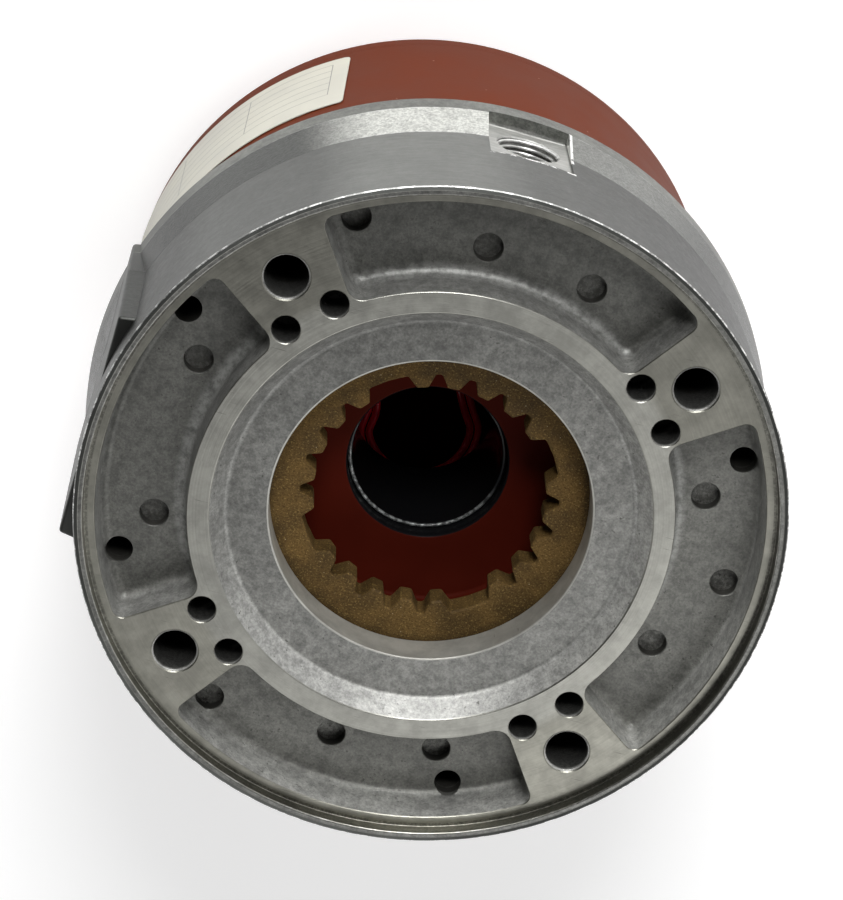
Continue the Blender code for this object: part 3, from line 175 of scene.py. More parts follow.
class Shader:
    """The nodes of one material."""

    def __init__(self, name):
        self.material = bpy.data.materials.new(name)
        self.material.use_nodes = True
        self.tree = self.material.node_tree
        self.surface = self.tree.nodes["Principled BSDF"]
        place = self.node("ShaderNodeTexCoord", {}, [], "Object")
        self.place = place
        parts = self.node("ShaderNodeSeparateXYZ", {}, [place], None)
        self.x, self.y, self.z = (Value(self, parts.outputs[axis]) for axis in "XYZ")
        self.radius = (self.x * self.x + self.y * self.y) ** 0.5
        self.angle = self.node("ShaderNodeMath", {"operation": "ARCTAN2"}, [self.y, self.x])

    def node(self, kind, settings, inputs, output=0):
        """A node of this kind; inputs are given in order or by name."""
        made = self.tree.nodes.new(kind)
        for setting, value in settings.items():
            setattr(made, setting, value)
        pairs = inputs.items() if isinstance(inputs, dict) else enumerate(inputs)
        for key, value in pairs:
            if isinstance(value, Value):
                self.tree.links.new(value.socket, made.inputs[key])
            elif value is not None:
                made.inputs[key].default_value = value
        return made if output is None else Value(self, made.outputs[output])

    def noise(self, size, detail=3.0, rough=0.55, where=None, distort=0.0):
        """Cloudy noise about 0.5 whose blotches are about this many metres across."""
        return self.node("ShaderNodeTexNoise", {}, {
            "Vector": where or self.place, "Scale": 1.0 / size, "Detail": detail,
            "Roughness": rough, "Distortion": distort})

    def cells(self, size, where=None):
        """Distance to the nearest of many scattered points."""
        return self.node("ShaderNodeTexVoronoi", {}, {
            "Vector": where or self.place, "Scale": 1.0 / size}, "Distance")

    def stretched(self, x, y, z):
        """Object coordinates scaled on each axis, for streaks."""
        return self.node("ShaderNodeVectorMath", {"operation": "MULTIPLY"},
                         [self.place, (x, y, z)])

    def round_about(self, radial, along, around):
        """Coordinates of radius, height and angle, each scaled, for marks that circle the axis."""
        return self.node("ShaderNodeCombineXYZ", {}, [
            self.radius * radial, self.z * along, self.angle * around])

    def mix(self, share, first, second):
        """A colour part way from first to second."""
        return self.node("ShaderNodeMix", {"data_type": "RGBA"}, {
            0: share, 6: self.colour(first), 7: self.colour(second)}, 2)

    def colour(self, value):
        if isinstance(value, Value):
            return value
        return (*value, 1.0)

    def tint(self, colour, gain):
        """A colour made lighter or darker by a value."""
        grey = self.node("ShaderNodeCombineXYZ", {}, [gain, gain, gain])
        return self.node("ShaderNodeMix", {"data_type": "RGBA", "blend_type": "MULTIPLY"}, {
            0: 1.0, 6: self.colour(colour), 7: grey}, 2)

    def finish(self, colour, roughness, metallic, height=None, relief=0.0001, **fixed):
        """Joins the results to the surface; height is the relief in a share of its depth."""
        wanted = {"Base Color": self.colour(colour), "Roughness": roughness, "Metallic": metallic}
        if height is not None:
            wanted["Normal"] = self.node("ShaderNodeBump", {}, {
                "Strength": 1.0, "Distance": relief, "Height": height})
        wanted.update({name.replace("_", " "): value for name, value in fixed.items()})
        for name, value in wanted.items():
            if isinstance(value, Value):
                self.tree.links.new(value.socket, self.surface.inputs[name])
            else:
                self.surface.inputs[name].default_value = value
        return self.material


# %% [markdown]
# ## Light and floor
#
# Bare metal shows what is around it, so the room matters more than the lamps. The picture's light
# comes from above its top edge: a wide soft lamp stands low on that side, and a small one higher up
# puts a glint on rounded edges. Overhead, where whoever takes the picture stands, the room is dim,
# and that makes the flat faces a middle grey. Their brightening towards the picture's lower right
# comes partly from the room and partly from painted light in the aluminium's colour. The floor is
# lifted to white for the eye and for reflections, without any more light on the brake.

# %% Lamps
LAMPS = {
    "window_lamp": {"spot": (-0.30, 1.50, 0.68), "size": 1.0, "watts": 17.0},
    "ceiling_lamp": {"spot": (0.80, -1.05, 1.60), "size": 1.1, "watts": 4.0},
    "glint_lamp": {"spot": (-0.20, 1.05, 1.25), "size": 0.45, "watts": 11.0},
}
LAMP_AIM = Vector((0.0, 0.0, 0.15))

for lamp_name, lamp in LAMPS.items():
    lamp_data = bpy.data.lights.new(lamp_name, "AREA")
    lamp_data.shape = "DISK"
    lamp_data.size = lamp["size"]
    lamp_data.energy = lamp["watts"]
    lamp_object = bpy.data.objects.new(lamp_name, lamp_data)
    spot = Vector(lamp["spot"])
    lamp_object.location = spot
    lamp_object.rotation_euler = (LAMP_AIM - spot).to_track_quat("-Z", "Y").to_euler()
    bpy.context.scene.collection.objects.link(lamp_object)
print("lamps:", list(LAMPS))

# %% World
DIM_WAY = Vector((-0.54, 0.42, 0.73))
DIM_STRENGTH = 0.04
BRIGHT_STRENGTH = 1.00
DIM_START = 0.36
DIM_END = 0.60

world = bpy.data.worlds.new("studio")
bpy.context.scene.world = world
world.use_nodes = True
world_tree = world.node_tree
direction = world_tree.nodes.new("ShaderNodeTexCoord")
nearness = world_tree.nodes.new("ShaderNodeVectorMath")
nearness.operation = "DOT_PRODUCT"
nearness.inputs[1].default_value = DIM_WAY
world_tree.links.new(direction.outputs["Generated"], nearness.inputs[0])
slope = world_tree.nodes.new("ShaderNodeMapRange")
slope.interpolation_type = "SMOOTHSTEP"
for socket, value in (("From Min", DIM_START), ("From Max", DIM_END),
                      ("To Min", BRIGHT_STRENGTH), ("To Max", DIM_STRENGTH)):
    slope.inputs[socket].default_value = value
world_tree.links.new(nearness.outputs["Value"], slope.inputs["Value"])
background = world_tree.nodes["Background"]
background.inputs["Color"].default_value = (1.0, 1.0, 1.0, 1.0)
world_tree.links.new(slope.outputs["Result"], background.inputs["Strength"])
bpy.context.scene.view_settings.view_transform = "Standard"
print("world from", DIM_STRENGTH, "to", BRIGHT_STRENGTH)

# %% Floor
FLOOR_SIZE = 12.0
FLOOR_GAP = 0.0003
FLOOR_GREY = 0.85
FLOOR_LIFT = 0.32


def seen_ray(tree):
    """1 for a ray from the camera, off metal or through glass, and 0 for light that bounces."""
    path = tree.nodes.new("ShaderNodeLightPath")
    seen = path.outputs["Is Camera Ray"]
    for name in ("Is Glossy Ray", "Is Transmission Ray"):
        either = tree.nodes.new("ShaderNodeMath")
        either.operation = "MAXIMUM"
        tree.links.new(seen, either.inputs[0])
        tree.links.new(path.outputs[name], either.inputs[1])
        seen = either.outputs[0]
    return seen


floor_paint = Shader("floor_paint")
floor_paint.finish((FLOOR_GREY,) * 3, 0.9, 0.0, Emission_Color=(1.0, 1.0, 1.0, 1.0))
lift = floor_paint.tree.nodes.new("ShaderNodeMath")
lift.operation = "MULTIPLY"
lift.inputs[1].default_value = FLOOR_LIFT
floor_paint.tree.links.new(seen_ray(floor_paint.tree), lift.inputs[0])
floor_paint.tree.links.new(lift.outputs[0], floor_paint.surface.inputs["Emission Strength"])
bpy.ops.mesh.primitive_plane_add(size=FLOOR_SIZE, location=(0.0, 0.0, -FLOOR_GAP))
floor = bpy.context.object
floor.name = "studio_floor"
floor.data.materials.append(floor_paint.material)
print("floor is", FLOOR_SIZE, "m wide")

# %% [markdown]
# ## Helpers for turned and cut shapes
#
# Nearly everything here came off a lathe or out of a mould and was then drilled. A turned shape is
# a stack of rings, one for each point of its profile, and a pocket is a stack of rounded outlines,
# so one loft function serves both. Real edges are never sharp, and a profile's corners are rounded
# where it is written.

# %% Lofts, rounded profiles and Booleans
FINE_STEPS = 192


def mesh_from(bm, name):
    mesh = bpy.data.meshes.new(name)
    bm.to_mesh(mesh)
    bm.free()
    return mesh


def loft(name, rings, closed_path=False):
    """A closed mesh through rings of equal length; a path that isn't closed gets end caps."""
    bm = bmesh.new()
    rows = [[bm.verts.new(point) for point in ring] for ring in rings]
    pairs = list(zip(rows, rows[1:]))
    if closed_path:
        pairs.append((rows[-1], rows[0]))
    else:
        bm.faces.new(rows[0])
        bm.faces.new(reversed(rows[-1]))
    for near, far in pairs:
        for i in range(len(near)):
            j = (i + 1) % len(near)
            bm.faces.new((near[i], far[i], far[j], near[j]))
    bmesh.ops.recalc_face_normals(bm, faces=bm.faces)
    return mesh_from(bm, name)


def rounded(corners, steps=4):
    """Profile points from (radius, height, fillet) corners, with each fillet as an arc."""
    points = []
    count = len(corners)
    for i, (r, z, fillet) in enumerate(corners):
        here = Vector((r, z))
        before = Vector(corners[i - 1][:2]) - here
        after = Vector(corners[(i + 1) % count][:2]) - here
        if fillet <= 0.0:
            points.append(here)
            continue
        half = before.angle(after) / 2
        reach = min(fillet / math.tan(half), before.length * 0.49, after.length * 0.49)
        radius = reach * math.tan(half)
        start = here + before.normalized() * reach
        end = here + after.normalized() * reach
        centre = here + (before.normalized() + after.normalized()).normalized() * (
            radius / math.sin(half))
        for k in range(steps + 1):
            share = k / steps
            chord = start.lerp(end, share) - centre
            points.append(centre + chord.normalized() * radius)
    return points


def turned(name, corners, steps=FINE_STEPS, arc_steps=4):
    """A closed profile turned round the brake's axis."""
    profile = rounded(corners, arc_steps)
    angles = [2 * math.pi * i / steps for i in range(steps)]
    rings = [[polar(r, angle, z) for angle in angles] for r, z in profile]
    return loft(name, rings, closed_path=True)


def plug(x, y, profile, steps=40):
    """Rings of a drilled hole's cutter, from (radius, height) pairs, top to bottom."""
    angles = [2 * math.pi * i / steps for i in range(steps)]
    return [[Vector((x, y, 0.0)) + polar(r, angle, z) for angle in angles] for r, z in profile]


def new_object(name, mesh):
    piece = bpy.data.objects.new(name, mesh)
    bpy.context.scene.collection.objects.link(piece)
    return piece


def join_meshes(name, meshes):
    """Several meshes as one."""
    bm = bmesh.new()
    for mesh in meshes:
        bm.from_mesh(mesh)
    return mesh_from(bm, name)


def cut(piece, mesh, operation="DIFFERENCE"):
    """Applies one exact Boolean and forgets its tool."""
    tool = new_object(mesh.name, mesh)
    modifier = piece.modifiers.new("cut", "BOOLEAN")
    modifier.operation = operation
    modifier.solver = "EXACT"
    modifier.object = tool
    freeze(piece)
    bpy.data.objects.remove(tool)
    return piece


def freeze(piece):
    """Turns what the modifiers make into the piece's own mesh."""
    depsgraph = bpy.context.evaluated_depsgraph_get()
    mesh = bpy.data.meshes.new_from_object(piece.evaluated_get(depsgraph))
    piece.modifiers.clear()
    piece.data = mesh
    return piece


def polish(piece, angle=32.0):
    """Smooth shading on curves, flat shading on flats, and crisp edges between them."""
    mesh = piece.data
    mesh.shade_smooth()
    mesh.set_sharp_from_angle(angle=math.radians(angle))
    modifier = piece.modifiers.new("flat_faces", "WEIGHTED_NORMAL")
    modifier.keep_sharp = True
    modifier.weight = 100
    return freeze(piece)


def dress(piece, material, body, slot, *stands_for):
    """Gives a finished piece its material and its body, and hides the nodes it stands for; slot is not used.
    """
    piece.data.materials.clear()
    piece.data.materials.append(material)
    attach(piece, body)
    if stands_for:
        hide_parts(*stands_for)
    print(piece.name, "has", len(piece.data.polygons), "faces")
    return piece


# %% [markdown]
# ## Plain finishes
#
# Small parts share one recipe: a colour that varies a little, a roughness that varies with it, and a
# fine grain as bump. What differs is only the numbers, so one function makes them all. The numbers
# are the size of the blotches, how far the colour strays, and how deep the grain is.


# %% A recipe for small parts
def plain_finish(name, colour, roughness, metallic, blotch, spread, relief, **fixed):
    """One colour that strays a little, with grain."""
    made = Shader(name)
    cloud = made.noise(blotch, 4.0)
    gain = cloud.ramp(0.3, 0.7, 1.0 - spread, 1.0 + spread)
    grain = made.noise(blotch * 0.12, 2.0)
    rough = cloud.ramp(0.3, 0.7, roughness * 0.85, min(roughness * 1.15, 1.0))
    return made.finish(made.tint(colour, gain), rough, metallic, grain, relief, **fixed)


ground_steel = plain_finish("ground_steel_finish", (0.5, 0.5, 0.5), 0.3, 1.0, 8 * MM, 0.12, 8e-6)
zinc_steel = plain_finish("zinc_steel_finish", (0.55, 0.55, 0.52), 0.35, 1.0, 4 * MM, 0.1, 6e-6)
spring_steel = plain_finish("spring_steel_finish", (0.32, 0.33, 0.36), 0.32, 1.0, 3 * MM, 0.2, 5e-6)
black_oxide = plain_finish("black_oxide_finish", (0.03, 0.03, 0.032), 0.4, 0.9, 3 * MM, 0.25, 8e-6)
thread_metal = plain_finish("cut_thread_finish", (0.86, 0.86, 0.84), 0.38, 1.0, 3 * MM, 0.15, 1e-5)
copper = plain_finish("copper_wire_finish", (0.7, 0.32, 0.17), 0.3, 1.0, 3 * MM, 0.15, 5e-5)
black_plastic = plain_finish(
    "black_plastic_finish", (0.018, 0.018, 0.02), 0.4, 0.0, 5 * MM, 0.2, 1.2e-5)
black_rubber = plain_finish("black_rubber_finish", (0.02, 0.02, 0.02), 0.75, 0.0, 5 * MM, 0.25, 2e-5)
gloss_black = plain_finish("gloss_black_finish", (0.008, 0.008, 0.009), 0.14, 0.0, 9 * MM, 0.3, 6e-5)
red_insulation = plain_finish(
    "red_insulation_finish", (0.92, 0.012, 0.035), 0.3, 0.0, 12 * MM, 0.12, 5e-6)
print("small finishes ready")

# %% [markdown]
# ## Geometry Nodes for what repeats
#
# Screws, pins and springs come in sets, and a thread winds along a hole. A small class builds such a
# tree from named sizes. Its modifier sits on a mesh whose points say where the copies go, and once
# it is evaluated the result is a plain mesh.


# %% A tree that is built in the script
class Tree:
    """A Geometry Nodes tree with named sizes."""

    def __init__(self, name, **sizes):
        self.name = name
        self.sizes = sizes
        self.group = bpy.data.node_groups.new(name, "GeometryNodeTree")
        face = self.group.interface
        face.new_socket("Geometry", in_out="INPUT", socket_type="NodeSocketGeometry")
        face.new_socket("Geometry", in_out="OUTPUT", socket_type="NodeSocketGeometry")
        self.keys = {}
        for label, value in sizes.items():
            kind = {int: "NodeSocketInt", float: "NodeSocketFloat"}.get(
                type(value), "NodeSocketObject")
            self.keys[label] = face.new_socket(label, in_out="INPUT", socket_type=kind).identifier
        self.start = self.group.nodes.new("NodeGroupInput")
        self.end = self.group.nodes.new("NodeGroupOutput")

    def size(self, label):
        return self.start.outputs[label]

    def node(self, kind, settings, inputs, output=0):
        """A node of this kind; inputs are given by name or place."""
        made = self.group.nodes.new(kind)
        for setting, value in settings.items():
            setattr(made, setting, value)
        for key, value in inputs.items():
            if isinstance(value, bpy.types.NodeSocket):
                self.group.links.new(value, made.inputs[key])
            else:
                made.inputs[key].default_value = value
        return made.outputs[output]

    def grow(self, places, geometry, material):
        """Ends the tree, runs it on a mesh of places and returns the plain piece."""
        real = self.node("GeometryNodeRealizeInstances", {}, {"Geometry": geometry})
        painted = self.node("GeometryNodeSetMaterial", {}, {"Geometry": real, "Material": material})
        self.group.links.new(painted, self.end.inputs[0])
        bm = bmesh.new()
        for place in places:
            bm.verts.new(place)
        piece = new_object(self.name, mesh_from(bm, self.name))
        modifier = piece.modifiers.new("tree", "NODES")
        modifier.node_group = self.group
        for label, value in self.sizes.items():
            modifier[self.keys[label]] = value
        freeze(piece)
        print(self.name, "has", len(piece.data.polygons), "faces")
        return piece


def on_places(tree, copy_geometry, spin=0.0, seed=0):
    """One copy on each point, each turned by its own chance about its axis."""
    chance = tree.node("FunctionNodeRandomValue", {"data_type": "FLOAT"}, {
        2: 0.0, 3: spin, "Seed": seed}, 1)
    turn = tree.node("ShaderNodeCombineXYZ", {}, {"Z": chance})
    return tree.node("GeometryNodeInstanceOnPoints", {}, {
        "Points": tree.start.outputs["Geometry"], "Instance": copy_geometry, "Rotation": turn})


def set_of_copies(name, mesh, places, material, spin=0.0, seed=1):
    """Copies of one mesh on points, as one plain piece."""
    first = new_object(name + "_first", mesh)
    tree = Tree(name, Piece=first, Spin=spin, Seed=seed)
    shape = tree.node("GeometryNodeObjectInfo", {}, {"Object": tree.size("Piece")}, "Geometry")
    copies = on_places(tree, shape, tree.size("Spin"), tree.size("Seed"))
    piece = tree.grow(places, copies, material)
    bpy.data.objects.remove(first)
    return piece


# %% [markdown]
# ## The housing's blank
#
# The housing is an aluminium casting: a drum with a thick front wall. Its outside is turned at the
# pilot lip and left as cast behind it, where it flares out to the rear band. The blank is the turned
# shape without any pockets or holes. Small fillets stand where the casting has them, and the edges
# that a tool has cut are nearly crisp.

# %% Turn the blank
PILOT_RADIUS = 107.95 * MM
RIM_RADIUS = 110.95 * MM
WAIST_RADIUS = 110.45 * MM
FLARE_RADIUS = 113.05 * MM
BAND_RADIUS = 113.35 * MM
RABBET_RADIUS = 105.1 * MM
CAVITY_RADIUS = 103.05 * MM
FRICTION_POCKET_RADIUS = 68.3 * MM
BORE_RADIUS = 50.8 * MM
RECESS_RADIUS = 64.3 * MM
RING_INNER_RADIUS = 69.3 * MM
RECESS_DEPTH = 7.0 * MM
FRICTION_DEPTH = 20.0 * MM
WEB_BACK_DEPTH = 24.0 * MM
FLARE_DEPTH = 53.0 * MM
FLARE_END_DEPTH = 71.0 * MM
HOUSING_DEPTH = PAD_Z - HOUSING_BACK
RABBET_DEPTH = HOUSING_DEPTH - 3.0 * MM
REAR_EDGE = 1.1 * MM

housing_corners = [
    (BORE_RADIUS, up(RECESS_DEPTH), 0.5 * MM),
    (RECESS_RADIUS, up(RECESS_DEPTH), 2.2 * MM),
    (RING_INNER_RADIUS, PAD_Z, 0.35 * MM),
    (PILOT_RADIUS, PAD_Z, 0.25 * MM),
    (PILOT_RADIUS, PAD_Z + LIP_HEIGHT, 0.5 * MM),
    (RIM_RADIUS, PAD_Z + LIP_HEIGHT, 0.55 * MM),
    (WAIST_RADIUS, up(FLARE_DEPTH), 0.7 * MM),
    (FLARE_RADIUS, up(FLARE_END_DEPTH), 0.5 * MM),
    (BAND_RADIUS, up(HOUSING_DEPTH - REAR_EDGE), 0.3 * MM),
    (BAND_RADIUS - REAR_EDGE, HOUSING_BACK, 0.3 * MM),
    (RABBET_RADIUS, HOUSING_BACK, 0.4 * MM),
    (RABBET_RADIUS, up(RABBET_DEPTH), 0.2 * MM),
    (CAVITY_RADIUS, up(RABBET_DEPTH), 0.6 * MM),
    (CAVITY_RADIUS, up(WEB_BACK_DEPTH), 4.0 * MM),
    (FRICTION_POCKET_RADIUS, up(WEB_BACK_DEPTH), 0.6 * MM),
    (FRICTION_POCKET_RADIUS, up(FRICTION_DEPTH), 0.8 * MM),
    (BORE_RADIUS, up(FRICTION_DEPTH), 0.3 * MM),
]
housing = new_object("flange_housing_fine", turned("flange_housing_fine", housing_corners))
print("blank has", len(housing.data.polygons), "faces")

# %% [markdown]
# ## Bosses that stand out of the casting
#
# A flat boss stands on the side, with drafted walls as a mould leaves them. Inside, four columns
# carry the screws that hold the magnet body, and a round boss takes the conduit thread. They are
# joined to the blank before anything is cut, so that the cuts go through both.

# %% Side boss, columns and conduit boss
BOSS_REACH = 110.1 * MM
BOSS_LOW_Y = -40.0 * MM
BOSS_HIGH_Y = 35.0 * MM
BOSS_FRONT_DEPTH = 10.0 * MM
BOSS_DRAFT = 1.2 * MM
SCREW_CIRCLE = 99.5 * MM
SCREW_ANGLES = [math.radians(angle) for angle in (25.0, 155.0, 205.0, 290.0)]
COLUMN_RADIUS = 8.0 * MM
CONDUIT_DEPTH = 57.0 * MM
CONDUIT_BOSS_RADIUS = 14.5 * MM
CONDUIT_BOSS_LENGTH = 12.0 * MM


def bevelled_block(name, low, high, bevel, segments=3):
    """A box between two corners with rounded edges."""
    bm = bmesh.new()
    bmesh.ops.create_cube(bm, size=1.0)
    size = Vector(high) - Vector(low)
    bmesh.ops.scale(bm, verts=bm.verts, vec=size)
    bmesh.ops.translate(bm, verts=bm.verts, vec=(Vector(low) + Vector(high)) / 2)
    bmesh.ops.bevel(bm, geom=bm.edges, offset=bevel, segments=segments, affect="EDGES",
                    profile=0.5)
    return mesh_from(bm, name)


side_boss = bevelled_block(
    "side_boss", (-BOSS_REACH, BOSS_LOW_Y, up(HOUSING_DEPTH - 1.0 * MM)),
    (-CAVITY_RADIUS * math.cos(math.asin(-BOSS_LOW_Y / CAVITY_RADIUS)) - 4.0 * MM, BOSS_HIGH_Y,
     up(BOSS_FRONT_DEPTH)), 1.0 * MM)
for vertex in side_boss.vertices:
    inward = (vertex.co.x + BOSS_REACH) / (BOSS_REACH - CAVITY_RADIUS)
    vertex.co.y += math.copysign(inward * BOSS_DRAFT, vertex.co.y)
cut(housing, side_boss, "UNION")
columns = [loft("column", plug(*polar(SCREW_CIRCLE, angle).xy, [
    (COLUMN_RADIUS, up(WEB_BACK_DEPTH - 3.0 * MM)), (COLUMN_RADIUS, up(RABBET_DEPTH) + 0.1 * MM)]))
    for angle in SCREW_ANGLES]
cut(housing, join_meshes("columns", columns), "UNION")
sideways = Matrix.Rotation(-math.pi / 2, 4, "X")
boss_rings = plug(0.0, 0.0, [(CONDUIT_BOSS_RADIUS, CAVITY_RADIUS + 3.0 * MM),
                             (CONDUIT_BOSS_RADIUS, CAVITY_RADIUS - CONDUIT_BOSS_LENGTH)])
conduit_boss = loft("conduit_boss", boss_rings)
conduit_boss.transform(Matrix.Translation((0.0, 0.0, up(CONDUIT_DEPTH))) @ sideways)
cut(housing, conduit_boss, "UNION")

# %% [markdown]
# ## Four cast pockets
#
# Between the bolt pads lie four pockets, as deep as a finger is thick. Their walls lean a little for
# the mould, their floors meet the walls in a wide fillet, and their upper edges are broken. The
# cutter is a loft: the same outline at several depths, each drawn in by the wall's slope and by the
# fillet's curve. An outline that is drawn in keeps concentric corners.

# %% Pocket cutters
POCKET_INNER = 76.1 * MM
POCKET_OUTER = 104.5 * MM
POCKET_DEPTH = 14.0 * MM
POCKET_HALF = math.radians(35.0)
POCKET_DRAFT = 0.7 * MM
POCKET_FILLET = 3.0 * MM
POCKET_EDGE = 0.4 * MM
INNER_CORNER = 5.0 * MM
OUTER_CORNER = 3.4 * MM
CORNER_STEPS = 6
ARC_STEPS = 26


def pocket_outline(middle, inset, z):
    """The ring of a pocket's wall, drawn in by inset, at one height."""
    points = []

    def corner(side, outer):
        size = max((OUTER_CORNER if outer else INNER_CORNER) - inset, 0.4 * MM)
        away = POCKET_OUTER - inset - size if outer else POCKET_INNER + inset + size
        lean = math.asin((inset + size) / away)
        centre = polar(away, middle + side * (POCKET_HALF - lean))
        flat = middle + side * (POCKET_HALF + math.pi / 2)
        tip = middle + side * (POCKET_HALF - lean) + (0.0 if outer else math.pi)
        swing = (tip - flat + math.pi) % (2 * math.pi) - math.pi
        arc = [centre + polar(size, flat + swing * k / CORNER_STEPS) for k in range(CORNER_STEPS + 1)]
        return arc, middle + side * (POCKET_HALF - lean)

    def along(radius, start, end):
        return [polar(radius, start + (end - start) * k / ARC_STEPS) for k in range(1, ARC_STEPS)]

    low_outer, low_angle = corner(-1, True)
    high_outer, high_angle = corner(1, True)
    high_inner, high_inner_angle = corner(1, False)
    low_inner, low_inner_angle = corner(-1, False)
    points += low_outer + along(POCKET_OUTER - inset, low_angle, high_angle) + high_outer[::-1]
    points += high_inner + along(POCKET_INNER + inset, high_inner_angle, low_inner_angle)
    points += low_inner[::-1]
    return [Vector((point.x, point.y, z)) for point in points]


def pocket_levels():
    """Inset and depth of each outline, from above the face down to the floor."""
    levels = [(-POCKET_EDGE * 0.7, -3.0 * MM)]
    for k in range(4):
        swing = math.radians(20.0 + 70.0 * k / 3)
        levels.append((POCKET_EDGE * (math.sin(swing) - 1), POCKET_EDGE * (1 - math.cos(swing))))
    for k in range(7):
        swing = math.pi / 2 * k / 6
        levels.append((POCKET_DRAFT + POCKET_FILLET * (1 - math.cos(swing)),
                       POCKET_DEPTH - POCKET_FILLET * (1 - math.sin(swing))))
    return levels


pockets = [loft("pocket", [pocket_outline(math.pi / 2 * k, inset, up(depth))
                           for inset, depth in pocket_levels()]) for k in range(4)]
cut(housing, join_meshes("pockets", pockets))

# %% [markdown]
# ## Holes
#
# Each pad has one large bolt hole with a broken edge and two small ones nearer the middle. The pocket
# floors carry shallow cored holes, and four deep ones for the
# screws. All are turned cutters, joined so that one Boolean does the lot.

# %% Drill the pads and pockets
BOLT_CIRCLE = 92.075 * MM
BOLT_HOLE = 6.9 * MM
BOLT_EDGE = 0.75 * MM
PAIR_CIRCLE = 77.9 * MM
PAIR_HOLE = 4.5 * MM
PAIR_EDGE = 0.25 * MM
PAIR_LEAN = math.radians(6.22)
BLIND_CIRCLE = 87.0 * MM
BLIND_ANGLES = [math.radians(angle) for angle in (-95, -72, -18, 18, 72, 95, 162, 198)]
OUTER_BLIND_CIRCLE = 98.0 * MM
OUTER_BLIND_ANGLES = [math.radians(angle) for angle in (0, 120, 240)]
BLIND_HOLE = 4.6 * MM
BLIND_DEPTH = 4.3 * MM
SCREW_HEAD_HOLE = 4.4 * MM
SCREW_SHANK_HOLE = 2.85 * MM
SCREW_SEAT_DEPTH = 64.0 * MM
PIN_CIRCLE = 74.0 * MM
PIN_HOLE = 4.8 * MM
PIN_HOLE_DEPTH = 10.7 * MM


def through_hole(spot, radius, edge, start, end):
    """A hole with a broken upper edge, from one depth to another."""
    top = up(start)
    return loft("hole", plug(spot.x, spot.y, [
        (radius + 2 * edge, top + edge), (radius, top - edge), (radius, up(end))]))


def blind_hole(spot):
    """A shallow cored hole with a soft mouth and a nearly flat bottom."""
    floor_z = up(POCKET_DEPTH)
    bottom = floor_z - BLIND_DEPTH
    return loft("blind", plug(spot.x, spot.y, [
        (BLIND_HOLE + 0.5 * MM, floor_z + 0.3 * MM), (BLIND_HOLE, floor_z - 0.2 * MM),
        (BLIND_HOLE - 0.1 * MM, bottom), (BLIND_HOLE * 0.5, bottom - 0.15 * MM)]))


bolt_angles = [math.pi / 4 + math.pi / 2 * k for k in range(4)]
holes = [through_hole(polar(BOLT_CIRCLE, angle), BOLT_HOLE, BOLT_EDGE, 0.0, 30.0 * MM)
         for angle in bolt_angles]
holes += [through_hole(polar(PAIR_CIRCLE, angle + side * PAIR_LEAN), PAIR_HOLE, PAIR_EDGE, 0.0,
                       17.0 * MM) for angle in bolt_angles for side in (-1, 1)]
holes += [blind_hole(polar(BLIND_CIRCLE, angle)) for angle in BLIND_ANGLES]
holes += [blind_hole(polar(OUTER_BLIND_CIRCLE, angle)) for angle in OUTER_BLIND_ANGLES]
for angle in SCREW_ANGLES:
    spot = polar(SCREW_CIRCLE, angle)
    holes.append(loft("screw_hole", plug(spot.x, spot.y, [
        (SCREW_HEAD_HOLE, up(POCKET_DEPTH - 3.5 * MM)), (SCREW_HEAD_HOLE, up(SCREW_SEAT_DEPTH)),
        (SCREW_SHANK_HOLE, up(SCREW_SEAT_DEPTH)), (SCREW_SHANK_HOLE, up(RABBET_DEPTH + 2.0 * MM))])))
holes += [loft("pin_hole", plug(*polar(PIN_CIRCLE, angle).xy, [
    (PIN_HOLE, up(PIN_HOLE_DEPTH)), (PIN_HOLE, up(WEB_BACK_DEPTH + 3.0 * MM))]))
    for angle in bolt_angles]
cut(housing, join_meshes("holes", holes))

# %% [markdown]
# ## The conduit entry
#
# On the side towards the top of the picture a flat is milled into the waist, and a half inch conduit
# thread is cut through it. The flat is a rounded block taken out of the casting. The hole is bored to
# the thread's outer size, with a chamfer, and the thread itself is a ridge that winds along it.

# %% Mill the flat and bore the hole
FLAT_REACH = 108.0 * MM
FLAT_LOW_X = -12.9 * MM
FLAT_HIGH_X = 14.2 * MM
FLAT_FRONT_DEPTH = 37.0 * MM
FLAT_BACK_DEPTH = 72.0 * MM
THREAD_OUTER = 10.05 * MM
THREAD_INNER = 9.15 * MM
THREAD_MOUTH = 0.5 * MM
THREAD_X = 0.8 * MM
flat = bevelled_block("conduit_flat", (FLAT_LOW_X, FLAT_REACH, up(FLAT_BACK_DEPTH)),
                      (FLAT_HIGH_X, FLAT_REACH + 20.0 * MM, up(FLAT_FRONT_DEPTH)), 0.7 * MM)
cut(housing, flat)
to_entry = Matrix.Translation((THREAD_X, 0.0, up(CONDUIT_DEPTH))) @ sideways
entry = loft("entry", plug(0.0, 0.0, [
    (THREAD_OUTER + 2 * THREAD_MOUTH, FLAT_REACH + THREAD_MOUTH),
    (THREAD_OUTER, FLAT_REACH - THREAD_MOUTH),
    (THREAD_OUTER, CAVITY_RADIUS - CONDUIT_BOSS_LENGTH - 3.0 * MM)], 64))
entry.transform(to_entry)
cut(housing, entry)
polish(housing)
print("housing has", len(housing.data.polygons), "faces")
